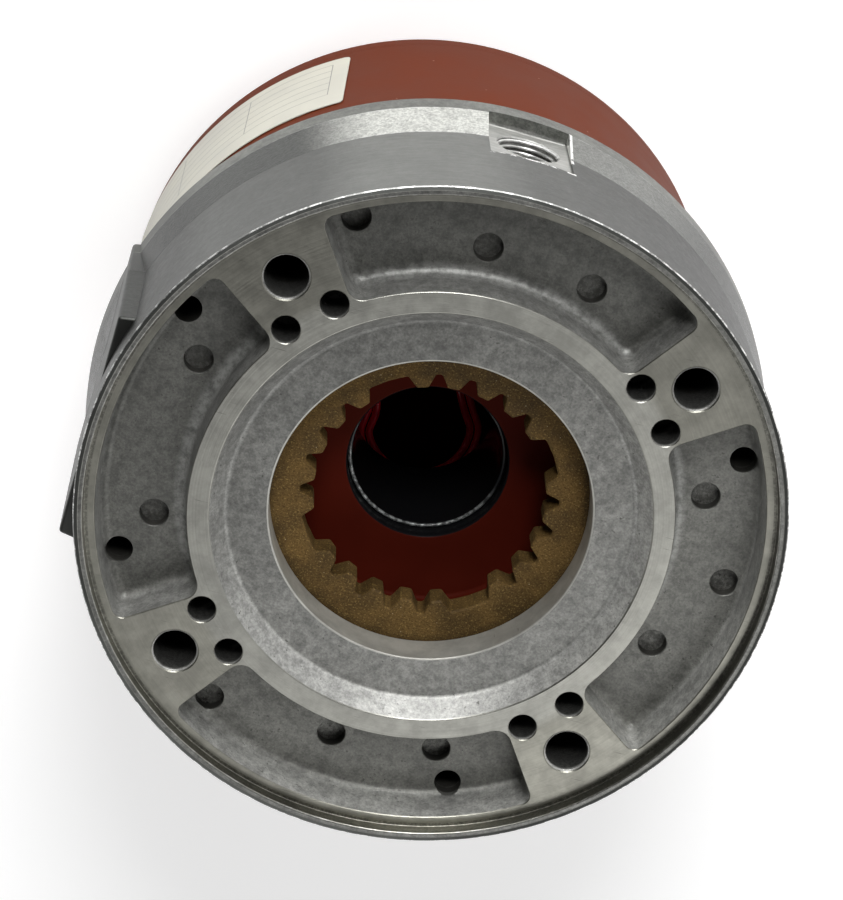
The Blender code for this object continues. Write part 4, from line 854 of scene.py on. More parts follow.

# %% [markdown]
# ## Cast and machined aluminium
#
# One casting shows many finishes. Where a tool has been, on the pads, the ring, the lip and the bore,
# it is a warm light grey with the tool's rings and rubbed patches. As cast it is a mottled grey, which
# is darkest on the pockets' floors and lightest on the smooth waist. The flared band behind the waist
# sparkles with fine scratches. Light and shade are painted on top: a highlight on the +y side of the
# waist and flare, shade towards their far sides and towards -x and +y inside, highlights on the lower
# bevel, the pockets' fillets and many edges, and shade in the cored holes and along the land.
# Which finish a point has follows from its radius and height alone, so masks of those two choose, and
# each mask picks a colour.

# %% Aluminium
WALL_GREY = (0.30, 0.30, 0.285)
RECESS_GREY = (0.180, 0.180, 0.169)
POCKET_GREY = (0.132, 0.132, 0.121)
WAIST_GREY = (0.105, 0.108, 0.102)
WAIST_HIGHLIGHT = (0.185, 0.19, 0.179)
FLARE_DULL = (0.080, 0.083, 0.078)
FLARE_HIGHLIGHT = (0.66, 0.67, 0.63)
STRIP_GREY = (0.185, 0.19, 0.175)
MACHINED = (0.33, 0.328, 0.298)
BEVEL_HIGHLIGHT = (0.305, 0.305, 0.292)
MILLED = (0.40, 0.40, 0.38)
HOLE_SHADE = (0.07, 0.07, 0.066)
PAD_GREY = (0.235, 0.231, 0.201)
BORE_GREY = (0.42, 0.415, 0.38)
LIP_GREY = (0.17, 0.17, 0.16)
FILLET_HIGHLIGHT_GREY = (0.52, 0.525, 0.505)
# Dark grey for real pits, stains and scratches, and for painted shade in the cored holes and along the land.
DIRT_AND_SHADE = (0.045, 0.043, 0.038)
NICK_AND_HIGHLIGHT_GREY = (0.92, 0.92, 0.90)
LIP_TOP = PAD_Z + LIP_HEIGHT
CAST_DULLNESS = 0.5


def near_holes(metal):
    """1 inside the pads' drilled holes, which lie alike in the four quarters."""
    beside, above = metal.x.math("ABSOLUTE"), metal.y.math("ABSOLUTE")
    inside_any = None
    for circle, lean, radius in ((BOLT_CIRCLE, 0.0, BOLT_HOLE), (PAIR_CIRCLE, PAIR_LEAN, PAIR_HOLE),
                                 (PAIR_CIRCLE, -PAIR_LEAN, PAIR_HOLE)):
        centre = polar(circle, math.pi / 4 + lean)
        off_centre = ((beside - centre.x) ** 2 + (above - centre.y) ** 2) ** 0.5
        hole = 1 - off_centre.ramp(radius + 0.2 * MM, radius + 0.5 * MM)
        inside_any = hole if inside_any is None else inside_any.most(hole)
    return inside_any


def aluminium_finish():
    metal = Shader("cast_and_machined_aluminium")
    r, z = metal.radius, metal.z
    outside = r.ramp(RIM_RADIUS - 1.6 * MM, RIM_RADIUS - 1.3 * MM)
    inside = 1 - outside
    pads = z.ramp(PAD_Z - 0.5 * MM, PAD_Z - 0.25 * MM)
    bore = 1 - r.ramp(BORE_RADIUS + 0.5 * MM, BORE_RADIUS + 0.7 * MM)
    edge = 1 - z.ramp(HOUSING_BACK + REAR_EDGE, HOUSING_BACK + REAR_EDGE + 0.2 * MM)
    machined = (pads * inside).most(bore).most(edge)
    flare = outside * z.between(up(FLARE_END_DEPTH), up(FLARE_DEPTH), 0.12 * MM)
    strip = outside * (1 - z.ramp(up(FLARE_END_DEPTH) - 0.1 * MM, up(FLARE_END_DEPTH) + 0.1 * MM))
    boss_face = (metal.x * -1.0).between(BOSS_REACH - 0.25 * MM, BOSS_REACH + 0.25 * MM, 0.05 * MM)
    flare = flare * (1 - boss_face)
    strip = strip * (1 - boss_face)
    pocket = (r.between(POCKET_INNER - 0.8 * MM, POCKET_OUTER + 0.8 * MM, 0.2 * MM)
              * (1 - z.ramp(up(POCKET_DEPTH - 0.4 * MM), up(POCKET_DEPTH - 2.2 * MM))))
    recess = (1 - r.ramp(RECESS_RADIUS - 0.8 * MM, RECESS_RADIUS + 0.2 * MM)) * (1 - pads)
    # Painted highlights: the waist, the flare and their edges are lighter on the +y side, where the light
    # catches them.
    waist_highlight_side = metal.angle.between(math.radians(94.0), math.radians(121.0), 0.10)
    highlight_side = (metal.angle.ramp(math.radians(129.0), math.radians(113.0))
                 * metal.angle.ramp(math.radians(84.0), math.radians(98.0), 0.28, 1.0)
                 * metal.angle.ramp(math.radians(48.0), math.radians(74.0)))
    lip_face = z.ramp(LIP_TOP - 0.1 * MM, LIP_TOP - 0.03 * MM) * inside

    clouds = metal.noise(19 * MM, 5.0, 0.6)
    mottle = metal.noise(3.0 * MM, 7.0, 0.72)
    speck = metal.noise(0.8 * MM, 3.0, 0.65)
    streak = metal.noise(1.0, 4.0, 0.6, metal.round_about(0.0, 1 / (1.1 * MM), 9.0))
    rings = metal.noise(1.0, 2.0, 0.5, metal.round_about(1 / (0.5 * MM), 0.0, 0.6))
    cast_gain = (clouds.ramp(0.32, 0.68, 0.88, 1.12) * mottle.ramp(0.32, 0.68, 0.72, 1.28)
                 * speck.ramp(0.3, 0.7, 0.82, 1.18))
    waist_gain = clouds.ramp(0.32, 0.68, 0.94, 1.06) * streak.ramp(0.3, 0.7, 0.90, 1.10)
    tool_gain = (metal.noise(9 * MM, 6.0, 0.68).ramp(0.3, 0.7, 0.80, 1.12)
                 * rings.ramp(0.3, 0.7, 0.95, 1.05))
    sparkle = metal.noise(0.9 * MM, 4.0, 0.75)
    flare_gain = sparkle.ramp(0.34, 0.64, 0.68, 1.15) * mottle.ramp(0.30, 0.58, 0.66, 1.04)

    # Painted light and shade: the cast mottle is made darker towards -x and +y and lighter towards +x and -y.
    painted_light_way = metal.x * 0.6 - metal.y * 0.8
    mottle_and_painted_light = cast_gain * painted_light_way.ramp(-95 * MM, 95 * MM, 0.72, 1.30)
    bevel = r.between(RECESS_RADIUS + 0.4 * MM, RING_INNER_RADIUS, 0.3 * MM) * (1 - pads)
    # Painted highlight: the bevel is lighter on its -y arc, where the light catches it.
    bevel_highlight_side = metal.angle.between(math.radians(-140.0), math.radians(-45.0), 0.2)
    colour = metal.mix(recess, WALL_GREY, RECESS_GREY)
    colour = metal.mix(bevel * bevel_highlight_side, colour, BEVEL_HIGHLIGHT)
    colour = metal.tint(colour, mottle_and_painted_light)
    colour = metal.mix(pocket, colour, metal.tint(POCKET_GREY, mottle_and_painted_light))
    waist = metal.mix(waist_highlight_side, WAIST_GREY, WAIST_HIGHLIGHT)
    turn_away = metal.angle.math("ABSOLUTE")
    # Painted shade: the outside grows darker towards -x and towards +x.
    far_painted_shade = turn_away.ramp(math.radians(142.0), math.radians(154.0), 1.0, 0.55)
    side_painted_shade = turn_away.ramp(math.radians(50.0), math.radians(92.0), 0.42, 1.0) * far_painted_shade
    colour = metal.mix(outside, colour, metal.tint(waist, waist_gain * side_painted_shade))
    flared = metal.mix(highlight_side, FLARE_DULL, FLARE_HIGHLIGHT)
    colour = metal.mix(flare, colour, metal.tint(flared, flare_gain * far_painted_shade))
    colour = metal.mix(strip, colour, metal.tint(STRIP_GREY, cast_gain * far_painted_shade))
    # Painted light: the pads are lighter towards -y and darker towards +y.
    pad_grey_painted_light = metal.tint(PAD_GREY, metal.y.ramp(-75 * MM, 75 * MM, 1.20, 0.92))
    off_ring = r.ramp(RING_INNER_RADIUS + 7.0 * MM, RING_INNER_RADIUS + 12.0 * MM)
    face_grey = metal.mix(off_ring, MACHINED, pad_grey_painted_light)
    face_grey = metal.mix(bore, face_grey, BORE_GREY)
    scratches = metal.noise(1.0, 2.0, 0.5, metal.stretched(90.0, 2600.0, 90.0)).ramp(0.70, 0.76)
    face_grey = metal.mix(scratches * 0.5, face_grey, DIRT_AND_SHADE)
    colour = metal.mix(machined, colour, metal.tint(face_grey, tool_gain))
    colour = metal.mix(lip_face, colour, metal.tint(LIP_GREY, cast_gain))

    cast = inside * (1 - machined)
    drilled = near_holes(metal) * (1 - z.ramp(PAD_Z - 2.2 * MM, PAD_Z - 1.0 * MM))
    colour = metal.mix(drilled, colour, metal.tint(HOLE_SHADE, speck.ramp(0.3, 0.7, 0.6, 1.5)))
    pits = metal.noise(1.3 * MM, 2.0, 0.5).ramp(0.66, 0.72) * clouds.ramp(0.38, 0.55) * cast
    stains = mottle.ramp(0.56, 0.68) * clouds.ramp(0.45, 0.62) * pocket * 0.7
    # Painted shade: the cored holes below the pocket floors are darkened, all but a lighter crust at their
    # bottoms.
    blind_hole_shade = pocket * (1 - z.ramp(up(POCKET_DEPTH + 1.2 * MM), up(POCKET_DEPTH + 0.3 * MM)))
    bottom = z.between(up(POCKET_DEPTH + BLIND_DEPTH + 0.3 * MM), up(POCKET_DEPTH + BLIND_DEPTH - 0.15 * MM),
                       0.05 * MM)
    crust = metal.noise(1.6 * MM, 5.0, 0.75).ramp(0.42, 0.62, 0.35, 1.0)
    holes = blind_hole_shade * (1 - bottom * crust)
    colour = metal.mix((pits * 0.6 + stains + holes * 0.8).ramp(0.0, 1.0), colour, DIRT_AND_SHADE)
    # Painted highlight: a light band along the fillet at the foot of each pocket's inner wall.
    fillet_highlight = (r.between(POCKET_INNER + 0.6 * MM, POCKET_INNER + 4.2 * MM, 1.2 * MM)
              * z.between(up(POCKET_DEPTH + 0.2 * MM), up(POCKET_DEPTH - 3.4 * MM), 0.8 * MM))
    colour = metal.mix(fillet_highlight * mottle.ramp(0.35, 0.65, 0.15, 0.5), colour, FILLET_HIGHLIGHT_GREY)
    # Painted shade: speckled dark along the land in the corner at the foot of the pilot lip.
    land_shade = r.between(PILOT_RADIUS - 1.2 * MM, PILOT_RADIUS, 0.12 * MM) * pads * (1 - lip_face)
    colour = metal.mix(land_shade * speck.ramp(0.35, 0.6) * 0.55, colour, DIRT_AND_SHADE)

    chips = metal.noise(3.2 * MM, 6.0, 0.72)
    lip_edges = z.ramp(LIP_TOP - 0.55 * MM, LIP_TOP - 0.35 * MM) * (
        r.ramp(RIM_RADIUS - 0.50 * MM, RIM_RADIUS - 0.30 * MM)
        + (1 - r.ramp(PILOT_RADIUS + 0.25 * MM, PILOT_RADIUS + 0.40 * MM)) * 0.35)
    waist_edge_highlight = (outside * z.between(up(FLARE_DEPTH + 0.2 * MM), up(FLARE_DEPTH - 0.5 * MM), 0.12 * MM)
                  * highlight_side)
    rear_edge_highlight = (outside * z.between(up(FLARE_END_DEPTH + 0.4 * MM), up(FLARE_END_DEPTH - 0.4 * MM), 0.12 * MM)
                 * (highlight_side * 0.6 + 0.4))
    middle_x = (FLAT_LOW_X + FLAT_HIGH_X) / 2
    off_x = (metal.x - middle_x).math("ABSOLUTE")
    half_x = (FLAT_HIGH_X - FLAT_LOW_X) / 2
    in_flat = (1 - off_x.ramp(half_x - 0.4 * MM, half_x)) * z.between(
        up(FLAT_BACK_DEPTH), up(FLAT_FRONT_DEPTH), 0.2 * MM)
    milled = metal.y.between(FLAT_REACH - 0.4 * MM, FLAT_REACH + 0.4 * MM, 0.15 * MM) * in_flat
    brushed = metal.noise(1.0, 3.0, 0.6, metal.stretched(160.0, 160.0, 1600.0))
    colour = metal.mix(milled, colour, metal.tint(MILLED, brushed.ramp(0.3, 0.7, 0.8, 1.15)))
    milled_edge = (metal.y.ramp(FLAT_REACH + 0.3 * MM, FLAT_REACH + 0.6 * MM)
                   * (1 - off_x.ramp(half_x + 0.5 * MM, half_x + 0.8 * MM))
                   * z.between(up(FLAT_FRONT_DEPTH + 0.5 * MM), up(FLAT_FRONT_DEPTH - 1.1 * MM), 0.1 * MM))
    burr = (metal.x.between(FLAT_HIGH_X - 0.2 * MM, FLAT_HIGH_X + 0.9 * MM, 0.15 * MM)
            * metal.y.ramp(FLAT_REACH + 0.8 * MM, FLAT_REACH + 1.2 * MM)
            * z.between(up(FLAT_BACK_DEPTH), up(FLAT_FRONT_DEPTH + 12.0 * MM), 0.5 * MM))
    # Real chips and burrs mixed with painted highlights along the lip, waist, rear and milled edges; those on
    # the waist and rear edges are lighter on the +y side.
    nicks_and_highlights = (lip_edges * chips.ramp(0.47, 0.60, 0.35, 1.0) + waist_edge_highlight * chips.ramp(0.42, 0.55) * 0.5
             + rear_edge_highlight * chips.ramp(0.38, 0.60) * 0.5
             + milled_edge * chips.ramp(0.46, 0.56) + burr * chips.ramp(0.36, 0.46)).ramp(0.0, 1.0)
    colour = metal.mix(nicks_and_highlights, colour, NICK_AND_HIGHLIGHT_GREY)

    bright = machined.most(flare)
    rough = (bright.ramp(0.0, 1.0, 0.46, 0.34) + bore * 0.12
             + (mottle - 0.5) * 0.25 + (speck - 0.5) * 0.1)
    grain = metal.noise(0.5 * MM, 3.0, 0.7) * 0.4 + mottle * 0.3 + speck * 0.3
    smooth = grain * 0.35 + streak * 0.12
    skin = (inside * (1 - machined) * grain + outside * smooth + machined * (rings * 0.1 + speck * 0.06)
            + flare * sparkle * 0.8)
    return metal.finish(colour, rough, 1.0 - bore * 0.45 - cast * CAST_DULLNESS, skin, 0.18 * MM)


aluminium = aluminium_finish()
dress(housing, aluminium, "stator", "cast_aluminium", "flange_housing")

# %% [markdown]
# ## The conduit thread
#
# A thread is a ridge that winds round the hole. A spiral curve gives its path, slightly tapered as a
# conduit thread is, and a triangle carried along it gives its section. The triangle's point faces the
# hole's middle and its base lies in the wall.

# %% Wind the thread
THREAD_PITCH = 1.814 * MM
THREAD_START = FLAT_REACH - 0.6 * MM
THREAD_LENGTH = 13.0 * MM
THREAD_TAPER = 0.35 * MM
thread = Tree("conduit_thread", Turns=THREAD_LENGTH / THREAD_PITCH, Radius=THREAD_OUTER,
              Length=THREAD_LENGTH, Taper=THREAD_TAPER, Ridge=THREAD_OUTER - THREAD_INNER)
far_radius = thread.node("ShaderNodeMath", {"operation": "SUBTRACT"}, {
    0: thread.size("Radius"), 1: thread.size("Taper")})
winding = thread.node("GeometryNodeCurveSpiral", {}, {
    "Resolution": 48, "Rotations": thread.size("Turns"), "Start Radius": thread.size("Radius"),
    "End Radius": far_radius, "Height": thread.size("Length")})
section = thread.node("GeometryNodeCurvePrimitiveCircle", {}, {
    "Resolution": 3, "Radius": thread.size("Ridge")})
section = thread.node("GeometryNodeTransform", {}, {
    "Geometry": section, "Rotation": (0.0, 0.0, 0.0), "Scale": (1.0, 0.95, 1.0)})
ridge = thread.node("GeometryNodeCurveToMesh", {}, {
    "Curve": winding, "Profile Curve": section, "Fill Caps": True})
laid = thread.node("GeometryNodeTransform", {}, {
    "Geometry": ridge, "Rotation": (math.pi / 2, 0.0, 0.0),
    "Translation": (THREAD_X, THREAD_START, up(CONDUIT_DEPTH))})
conduit_thread = thread.grow([], laid, thread_metal)
dress(conduit_thread, thread_metal, "stator", "cast_aluminium")

# %% [markdown]
# ## The friction disc
#
# The disc is pressed from one speckled brown lining. Its bore is cut with teeth in four groups of
# five, with a wide gap between groups. One outline gives the teeth, its corners rounded as a cutter
# leaves them, and the disc is a loft that goes down the outside and up through the teeth.

# %% Shape the disc
DISC_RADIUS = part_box("friction_disc")[1].x
SPLINE_ROOT = 41.3 * MM
SPLINE_TIP = 37.0 * MM
ROOT_HALF = math.radians(6.1)
TIP_HALF = math.radians(2.8)
SPLINE_PITCHES = 24
GROUP_PITCHES = 6
GAP_ANGLE = math.radians(35.0)
TOOTH_CORNER = 1.0 * MM
DISC_EDGE = 0.6 * MM


def spline_outline():
    """The rounded teeth as (x, y) points."""
    corners = []
    pitch = 2 * math.pi / SPLINE_PITCHES
    for index in range(SPLINE_PITCHES):
        angle = GAP_ANGLE + index * pitch
        if index % GROUP_PITCHES == 0:
            corners.append((*polar(SPLINE_ROOT, angle).xy, 0.0))
            continue
        for radius, lean in ((SPLINE_ROOT, -ROOT_HALF), (SPLINE_TIP, -TIP_HALF),
                             (SPLINE_TIP, TIP_HALF), (SPLINE_ROOT, ROOT_HALF)):
            corners.append((*polar(radius, angle + lean).xy, TOOTH_CORNER))
    return rounded(corners, 3)


teeth = spline_outline()


def disc_ring(z, wider=None, outer=None):
    """A ring of the disc: its teeth drawn back a little, or its rim at the same angles."""
    ring = []
    for point in teeth:
        reach = outer if outer else point.length + wider
        ring.append(polar(reach, math.atan2(point.y, point.x), z))
    return ring


disc = new_object("friction_disc_fine", loft("friction_disc_fine", [
    disc_ring(DISC_FRONT, outer=DISC_RADIUS - DISC_EDGE),
    disc_ring(DISC_FRONT - DISC_EDGE, outer=DISC_RADIUS),
    disc_ring(DISC_BACK + DISC_EDGE, outer=DISC_RADIUS),
    disc_ring(DISC_BACK, outer=DISC_RADIUS - DISC_EDGE),
    disc_ring(DISC_BACK, wider=DISC_EDGE), disc_ring(DISC_BACK + DISC_EDGE, wider=0.0),
    disc_ring(DISC_FRONT - DISC_EDGE, wider=0.0), disc_ring(DISC_FRONT, wider=DISC_EDGE),
], closed_path=True))
polish(disc, 25.0)
print("teeth outline has", len(teeth), "points")

# %% Speckled lining
LINING_BROWN = (0.098, 0.058, 0.018)
LINING_DARK = (0.030, 0.017, 0.006)
LINING_GOLD = (0.30, 0.205, 0.065)
LINING_PALE = (0.50, 0.41, 0.24)


def lining_finish():
    lining = Shader("friction_lining_finish")
    clouds = lining.noise(12 * MM, 5.0, 0.6)
    colour = lining.tint(LINING_BROWN, clouds.ramp(0.34, 0.66, 0.68, 1.30))
    fibre = lining.noise(0.8 * MM, 4.0, 0.7, lining.stretched(1.0, 1.6, 1.0))
    colour = lining.mix(fibre.ramp(0.46, 0.62) * 0.6, colour, LINING_DARK)
    fleck = lining.noise(0.6 * MM, 3.0, 0.6)
    colour = lining.mix(fleck.ramp(0.55, 0.68) * 0.55, colour, LINING_GOLD)
    glint = 1 - lining.cells(3.4 * MM).ramp(0.03, 0.06)
    colour = lining.mix(glint * 0.8, colour, LINING_PALE)
    # Painted shade: the teeth's walls and the face near the bore's edge, under the web, are darkened.
    wall_shade = 1 - lining.z.ramp(DISC_FRONT - 1.2 * MM, DISC_FRONT - 0.3 * MM)
    rim = lining.radius.ramp(BORE_RADIUS - 3.0 * MM, BORE_RADIUS)
    colour = lining.tint(colour, wall_shade.ramp(0.0, 1.0, 1.0, 0.9) * rim.ramp(0.0, 1.0, 1.0, 0.7))
    grain = fibre * 0.5 + fleck * 0.3 + glint * 0.2
    return lining.finish(colour, clouds.ramp(0.3, 0.7, 0.60, 0.80), 0.0, grain, 0.14 * MM,
                         Specular_IOR_Level=0.15)


dress(disc, lining_finish(), "rotor", "friction_lining", "friction_disc")

# %% [markdown]
# ## The magnet body and its cover
#
# The magnet body is a painted casting. Its front has two poles with the coil's groove between them,
# and its bore goes right through; behind, a skirt makes room for the terminals and a flat cover
# closes it. It is one turned profile, drilled for the springs, pins, screws and leads.

# %% Turn and drill the magnet body
POLE_FACE_DEPTH = PAD_Z - BODY_FRONT
POLE_RECESS_DEPTH = 48.0 * MM
GROOVE_DEPTH = 74.8 * MM
BACK_PLATE_DEPTH = 100.0 * MM
BODY_SHOULDER_DEPTH = 78.3 * MM
SKIRT_RADIUS = 92.0 * MM
POLE_RADIUS = 80.0 * MM
COIL_OUTER = 67.0 * MM
COIL_INNER = 55.0 * MM
POLE_BORE = 49.0 * MM
MAGNET_BORE = 26.2 * MM
SPRING_CIRCLE = 73.5 * MM
SPRING_POCKET = 4.45 * MM
SPRING_FLOOR_DEPTH = 63.8 * MM
COVER_SCREW_CIRCLE = 98.4 * MM
LEAD_HOLE_CIRCLE = 61.0 * MM
LEAD_HOLE_ANGLE = math.radians(150.0)
GROMMET_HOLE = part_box("lead_grommet")[1].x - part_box("lead_grommet")[0].x
spring_angles = [math.pi / 3 * k for k in range(6)]
cover_angles = [math.pi / 6 + math.pi / 3 * k for k in range(6)]

body_corners = [
    (MAGNET_BORE, up(POLE_RECESS_DEPTH), 0.9 * MM),
    (POLE_BORE, up(POLE_RECESS_DEPTH), 1.5 * MM),
    (POLE_BORE, BODY_FRONT, 0.4 * MM),
    (COIL_INNER, BODY_FRONT, 0.4 * MM),
    (COIL_INNER, up(GROOVE_DEPTH), 0.6 * MM),
    (COIL_OUTER, up(GROOVE_DEPTH), 0.6 * MM),
    (COIL_OUTER, BODY_FRONT, 0.4 * MM),
    (POLE_RADIUS, BODY_FRONT, 0.8 * MM),
    (POLE_RADIUS, up(BODY_SHOULDER_DEPTH), 1.2 * MM),
    (BODY_RADIUS, up(BODY_SHOULDER_DEPTH), 0.6 * MM),
    (BODY_RADIUS, BODY_END, 0.1 * MM),
    (SKIRT_RADIUS, BODY_END, 0.5 * MM),
    (SKIRT_RADIUS, up(BACK_PLATE_DEPTH), 4.0 * MM),
    (MAGNET_BORE, up(BACK_PLATE_DEPTH), 0.5 * MM),
]
body = new_object("magnet_body_fine", turned("magnet_body_fine", body_corners))


def bores(circle, angles, radius, start, end):
    """Plain holes on a circle, from one depth to another."""
    return [loft("bore", plug(*polar(circle, angle).xy, [(radius, up(start)), (radius, up(end))]))
            for angle in angles]


body_holes = bores(SPRING_CIRCLE, spring_angles, SPRING_POCKET, POLE_FACE_DEPTH - 3 * MM,
                   SPRING_FLOOR_DEPTH)
body_holes += bores(PIN_CIRCLE, bolt_angles, 4.9 * MM, POLE_FACE_DEPTH - 3 * MM,
                    POLE_FACE_DEPTH + 8 * MM)
body_holes += bores(SCREW_CIRCLE, SCREW_ANGLES, 2.85 * MM, BODY_SHOULDER_DEPTH - 2 * MM, 96 * MM)
body_holes += bores(COVER_SCREW_CIRCLE, cover_angles, 2.85 * MM, 164.5 * MM, 180 * MM)
body_holes += bores(LEAD_HOLE_CIRCLE, [LEAD_HOLE_ANGLE], 4.05 * MM, GROOVE_DEPTH - 2 * MM,
                    BACK_PLATE_DEPTH + 2 * MM)
cut(body, join_meshes("body_holes", body_holes))
polish(body)
print("magnet body has", len(body.data.polygons), "faces")

# %% Turn the rear cover and its gasket
COVER_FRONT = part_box("rear_cover")[1].z
GASKET_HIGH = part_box("rear_gasket")[1].z
HEAD_RADIUS = 4.15 * MM
COVER_SEAT = 3.8 * MM


def turned_solid(name, corners, steps=FINE_STEPS):
    """A turned piece that is solid at the axis, from (radius, height, fillet), top to bottom."""
    ends = [(0.0, corners[0][1], 0.0), *corners, (0.0, corners[-1][1], 0.0)]
    profile = [(r, z) for r, z in rounded(ends) if r > 0.0]
    return loft(name, plug(0.0, 0.0, profile, steps))


cover = new_object("rear_cover_fine", turned_solid("rear_cover_fine", [
    (BODY_RADIUS, COVER_FRONT, 0.1 * MM), (BODY_RADIUS, 0.0, 1.4 * MM)]))
cover_holes = [loft("cover_hole", plug(*polar(COVER_SCREW_CIRCLE, angle).xy, [
    (2.85 * MM, COVER_FRONT + 2 * MM), (2.85 * MM, COVER_SEAT), (HEAD_RADIUS + 0.3 * MM, COVER_SEAT),
    (HEAD_RADIUS + 0.3 * MM, -2 * MM)])) for angle in cover_angles]
cut(cover, join_meshes("cover_holes", cover_holes))
polish(cover)
gasket = new_object("rear_gasket_fine", turned("rear_gasket_fine", [
    (SKIRT_RADIUS + 0.3 * MM, BODY_END, 0.0), (BODY_RADIUS, BODY_END, 0.1 * MM),
    (BODY_RADIUS, COVER_FRONT, 0.1 * MM), (SKIRT_RADIUS + 0.3 * MM, COVER_FRONT, 0.0)]))
gasket_depth = PAD_Z - GASKET_HIGH
cut(gasket, join_meshes("gasket_holes", bores(
    COVER_SCREW_CIRCLE, cover_angles, 2.85 * MM, gasket_depth - 2 * MM, gasket_depth + 4 * MM)))
polish(gasket)

# %% [markdown]
# ## Red paint
#
# The whole magnet was sprayed after it was closed, so one brownish red covers the casting, its cover
# and the gasket's edge between them. The coat is satin, strays a little in tone and has a faint
# orange peel. Its middle, towards the front and deep inside the housing, is painted darker as shade.
# The hole through the magnet was masked, and its wall is the sleeve's gloss black.

# %% Paint
PAINT_RED = (0.125, 0.0255, 0.0088)
PAINT_RUBBED = (0.145, 0.033, 0.013)
PAINT_SHADED = (0.066, 0.0076, 0.0036)
HOLE_BLACK = (0.008, 0.008, 0.009)


def paint_finish():
    paint = Shader("red_paint_finish")
    shade = paint.noise(45 * MM, 3.0)
    colour = paint.tint(PAINT_RED, shade.ramp(0.3, 0.7, 0.93, 1.05))
    rub = paint.noise(17 * MM, 6.0, 0.7).ramp(0.58, 0.74) * 0.3
    colour = paint.mix(rub, colour, PAINT_RUBBED)
    dust = 1 - paint.cells(11 * MM).ramp(0.02, 0.045)
    colour = paint.mix(dust * 0.5, colour, (0.5, 0.33, 0.25))
    # Painted shade: the inner face, towards the front and inside the pole, is darker.
    painted_shade_inside = (1 - paint.radius.ramp(COIL_OUTER, POLE_RADIUS)) * paint.z.ramp(BODY_END, BODY_FRONT)
    colour = paint.mix(painted_shade_inside.ramp(0.2, 0.9), colour, paint.tint(PAINT_SHADED, shade.ramp(
        0.3, 0.7, 0.85, 1.1)))
    hole = 1 - paint.radius.ramp(MAGNET_BORE + 0.35 * MM, MAGNET_BORE + 0.55 * MM)
    colour = paint.mix(hole, colour, HOLE_BLACK)
    peel = paint.noise(1.5 * MM, 2.0) * 0.8 + paint.noise(0.4 * MM, 2.0) * 0.2
    rough = shade.ramp(0.3, 0.7, 0.42, 0.50) - hole * 0.26
    return paint.finish(colour, rough, 0.0, peel, 0.035 * MM, Specular_IOR_Level=0.02)


red_paint = paint_finish()
dress(body, red_paint, "stator", "red_paint", "magnet_body")
dress(cover, red_paint, "stator", "red_paint", "rear_cover")
dress(gasket, red_paint, "stator", "red_paint", "rear_gasket")

# %% [markdown]
# ## The label
#
# A stiff cream label is wrapped on the body, a few degrees out of square as it was stuck on. It is
# left blank but for the thin rules and boxes of an empty form. Its corners are round, so its edges
# draw in near both ends, column by column, and then the whole sheet is turned by its lean.

# %% Wrap the label
LABEL_START = math.radians(120.0)
LABEL_SPAN = math.radians(58.0)
LABEL_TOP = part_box("nameplate_label")[1].z
LABEL_HEIGHT = 54.0 * MM
LABEL_LEAN = math.radians(3.0)
LABEL_RADIUS = BODY_RADIUS + 0.3 * MM
LABEL_THICKNESS = 0.3 * MM
LABEL_CORNER = 2.5 * MM
LABEL_COLUMNS = 64
CORNER_COLUMNS = 8


def label_mesh():
    """The label's sheet, with u along it and v up it, both in metres."""
    corner_angle = LABEL_CORNER / LABEL_RADIUS
    shares = [1 - math.cos(math.pi / 2 * k / CORNER_COLUMNS) for k in range(CORNER_COLUMNS)]
    angles = [share * corner_angle for share in shares]
    straight = LABEL_SPAN - 2 * corner_angle
    angles += [corner_angle + straight * k / LABEL_COLUMNS for k in range(LABEL_COLUMNS + 1)]
    angles += [LABEL_SPAN - share * corner_angle for share in reversed(shares)]
    lean = math.tan(LABEL_LEAN)
    bm = bmesh.new()
    sheet_map = bm.loops.layers.uv.new("sheet")
    flat = {}
    columns = []
    for angle in angles:
        near = min(angle, LABEL_SPAN - angle) / corner_angle
        inset = LABEL_CORNER * (1 - math.sqrt(max(0.0, 1 - (1 - min(near, 1.0)) ** 2)))
        column = []
        for height in (inset, LABEL_HEIGHT - inset):
            place = polar(LABEL_RADIUS, LABEL_START + angle + height * lean / LABEL_RADIUS,
                          LABEL_TOP - LABEL_HEIGHT + height - angle * LABEL_RADIUS * lean)
            column.append(bm.verts.new(place))
            flat[column[-1]] = (angle * LABEL_RADIUS, height)
        columns.append(column)
    for left, right_column in zip(columns, columns[1:]):
        face = bm.faces.new((left[0], right_column[0], right_column[1], left[1]))
        for loop in face.loops:
            loop[sheet_map].uv = flat[loop.vert]
    return mesh_from(bm, "nameplate_label_fine")


label = new_object("nameplate_label_fine", label_mesh())
sheet = label.modifiers.new("thickness", "SOLIDIFY")
sheet.thickness = LABEL_THICKNESS
sheet.offset = 1.0
freeze(label)
polish(label)

# %% Blank form
LABEL_CREAM = (0.60, 0.585, 0.505)
RULE_GREY = (0.13, 0.13, 0.125)
RULE_HEIGHTS = [LABEL_HEIGHT - step * MM for step in (13.0, 20.0, 27.0, 34.0, 41.0, 48.0)]
RULE_ENDS = (6.0 * MM, LABEL_RADIUS * LABEL_SPAN - 6.0 * MM)
BOX_SIDES = [share * MM for share in (38.0, 70.0)]


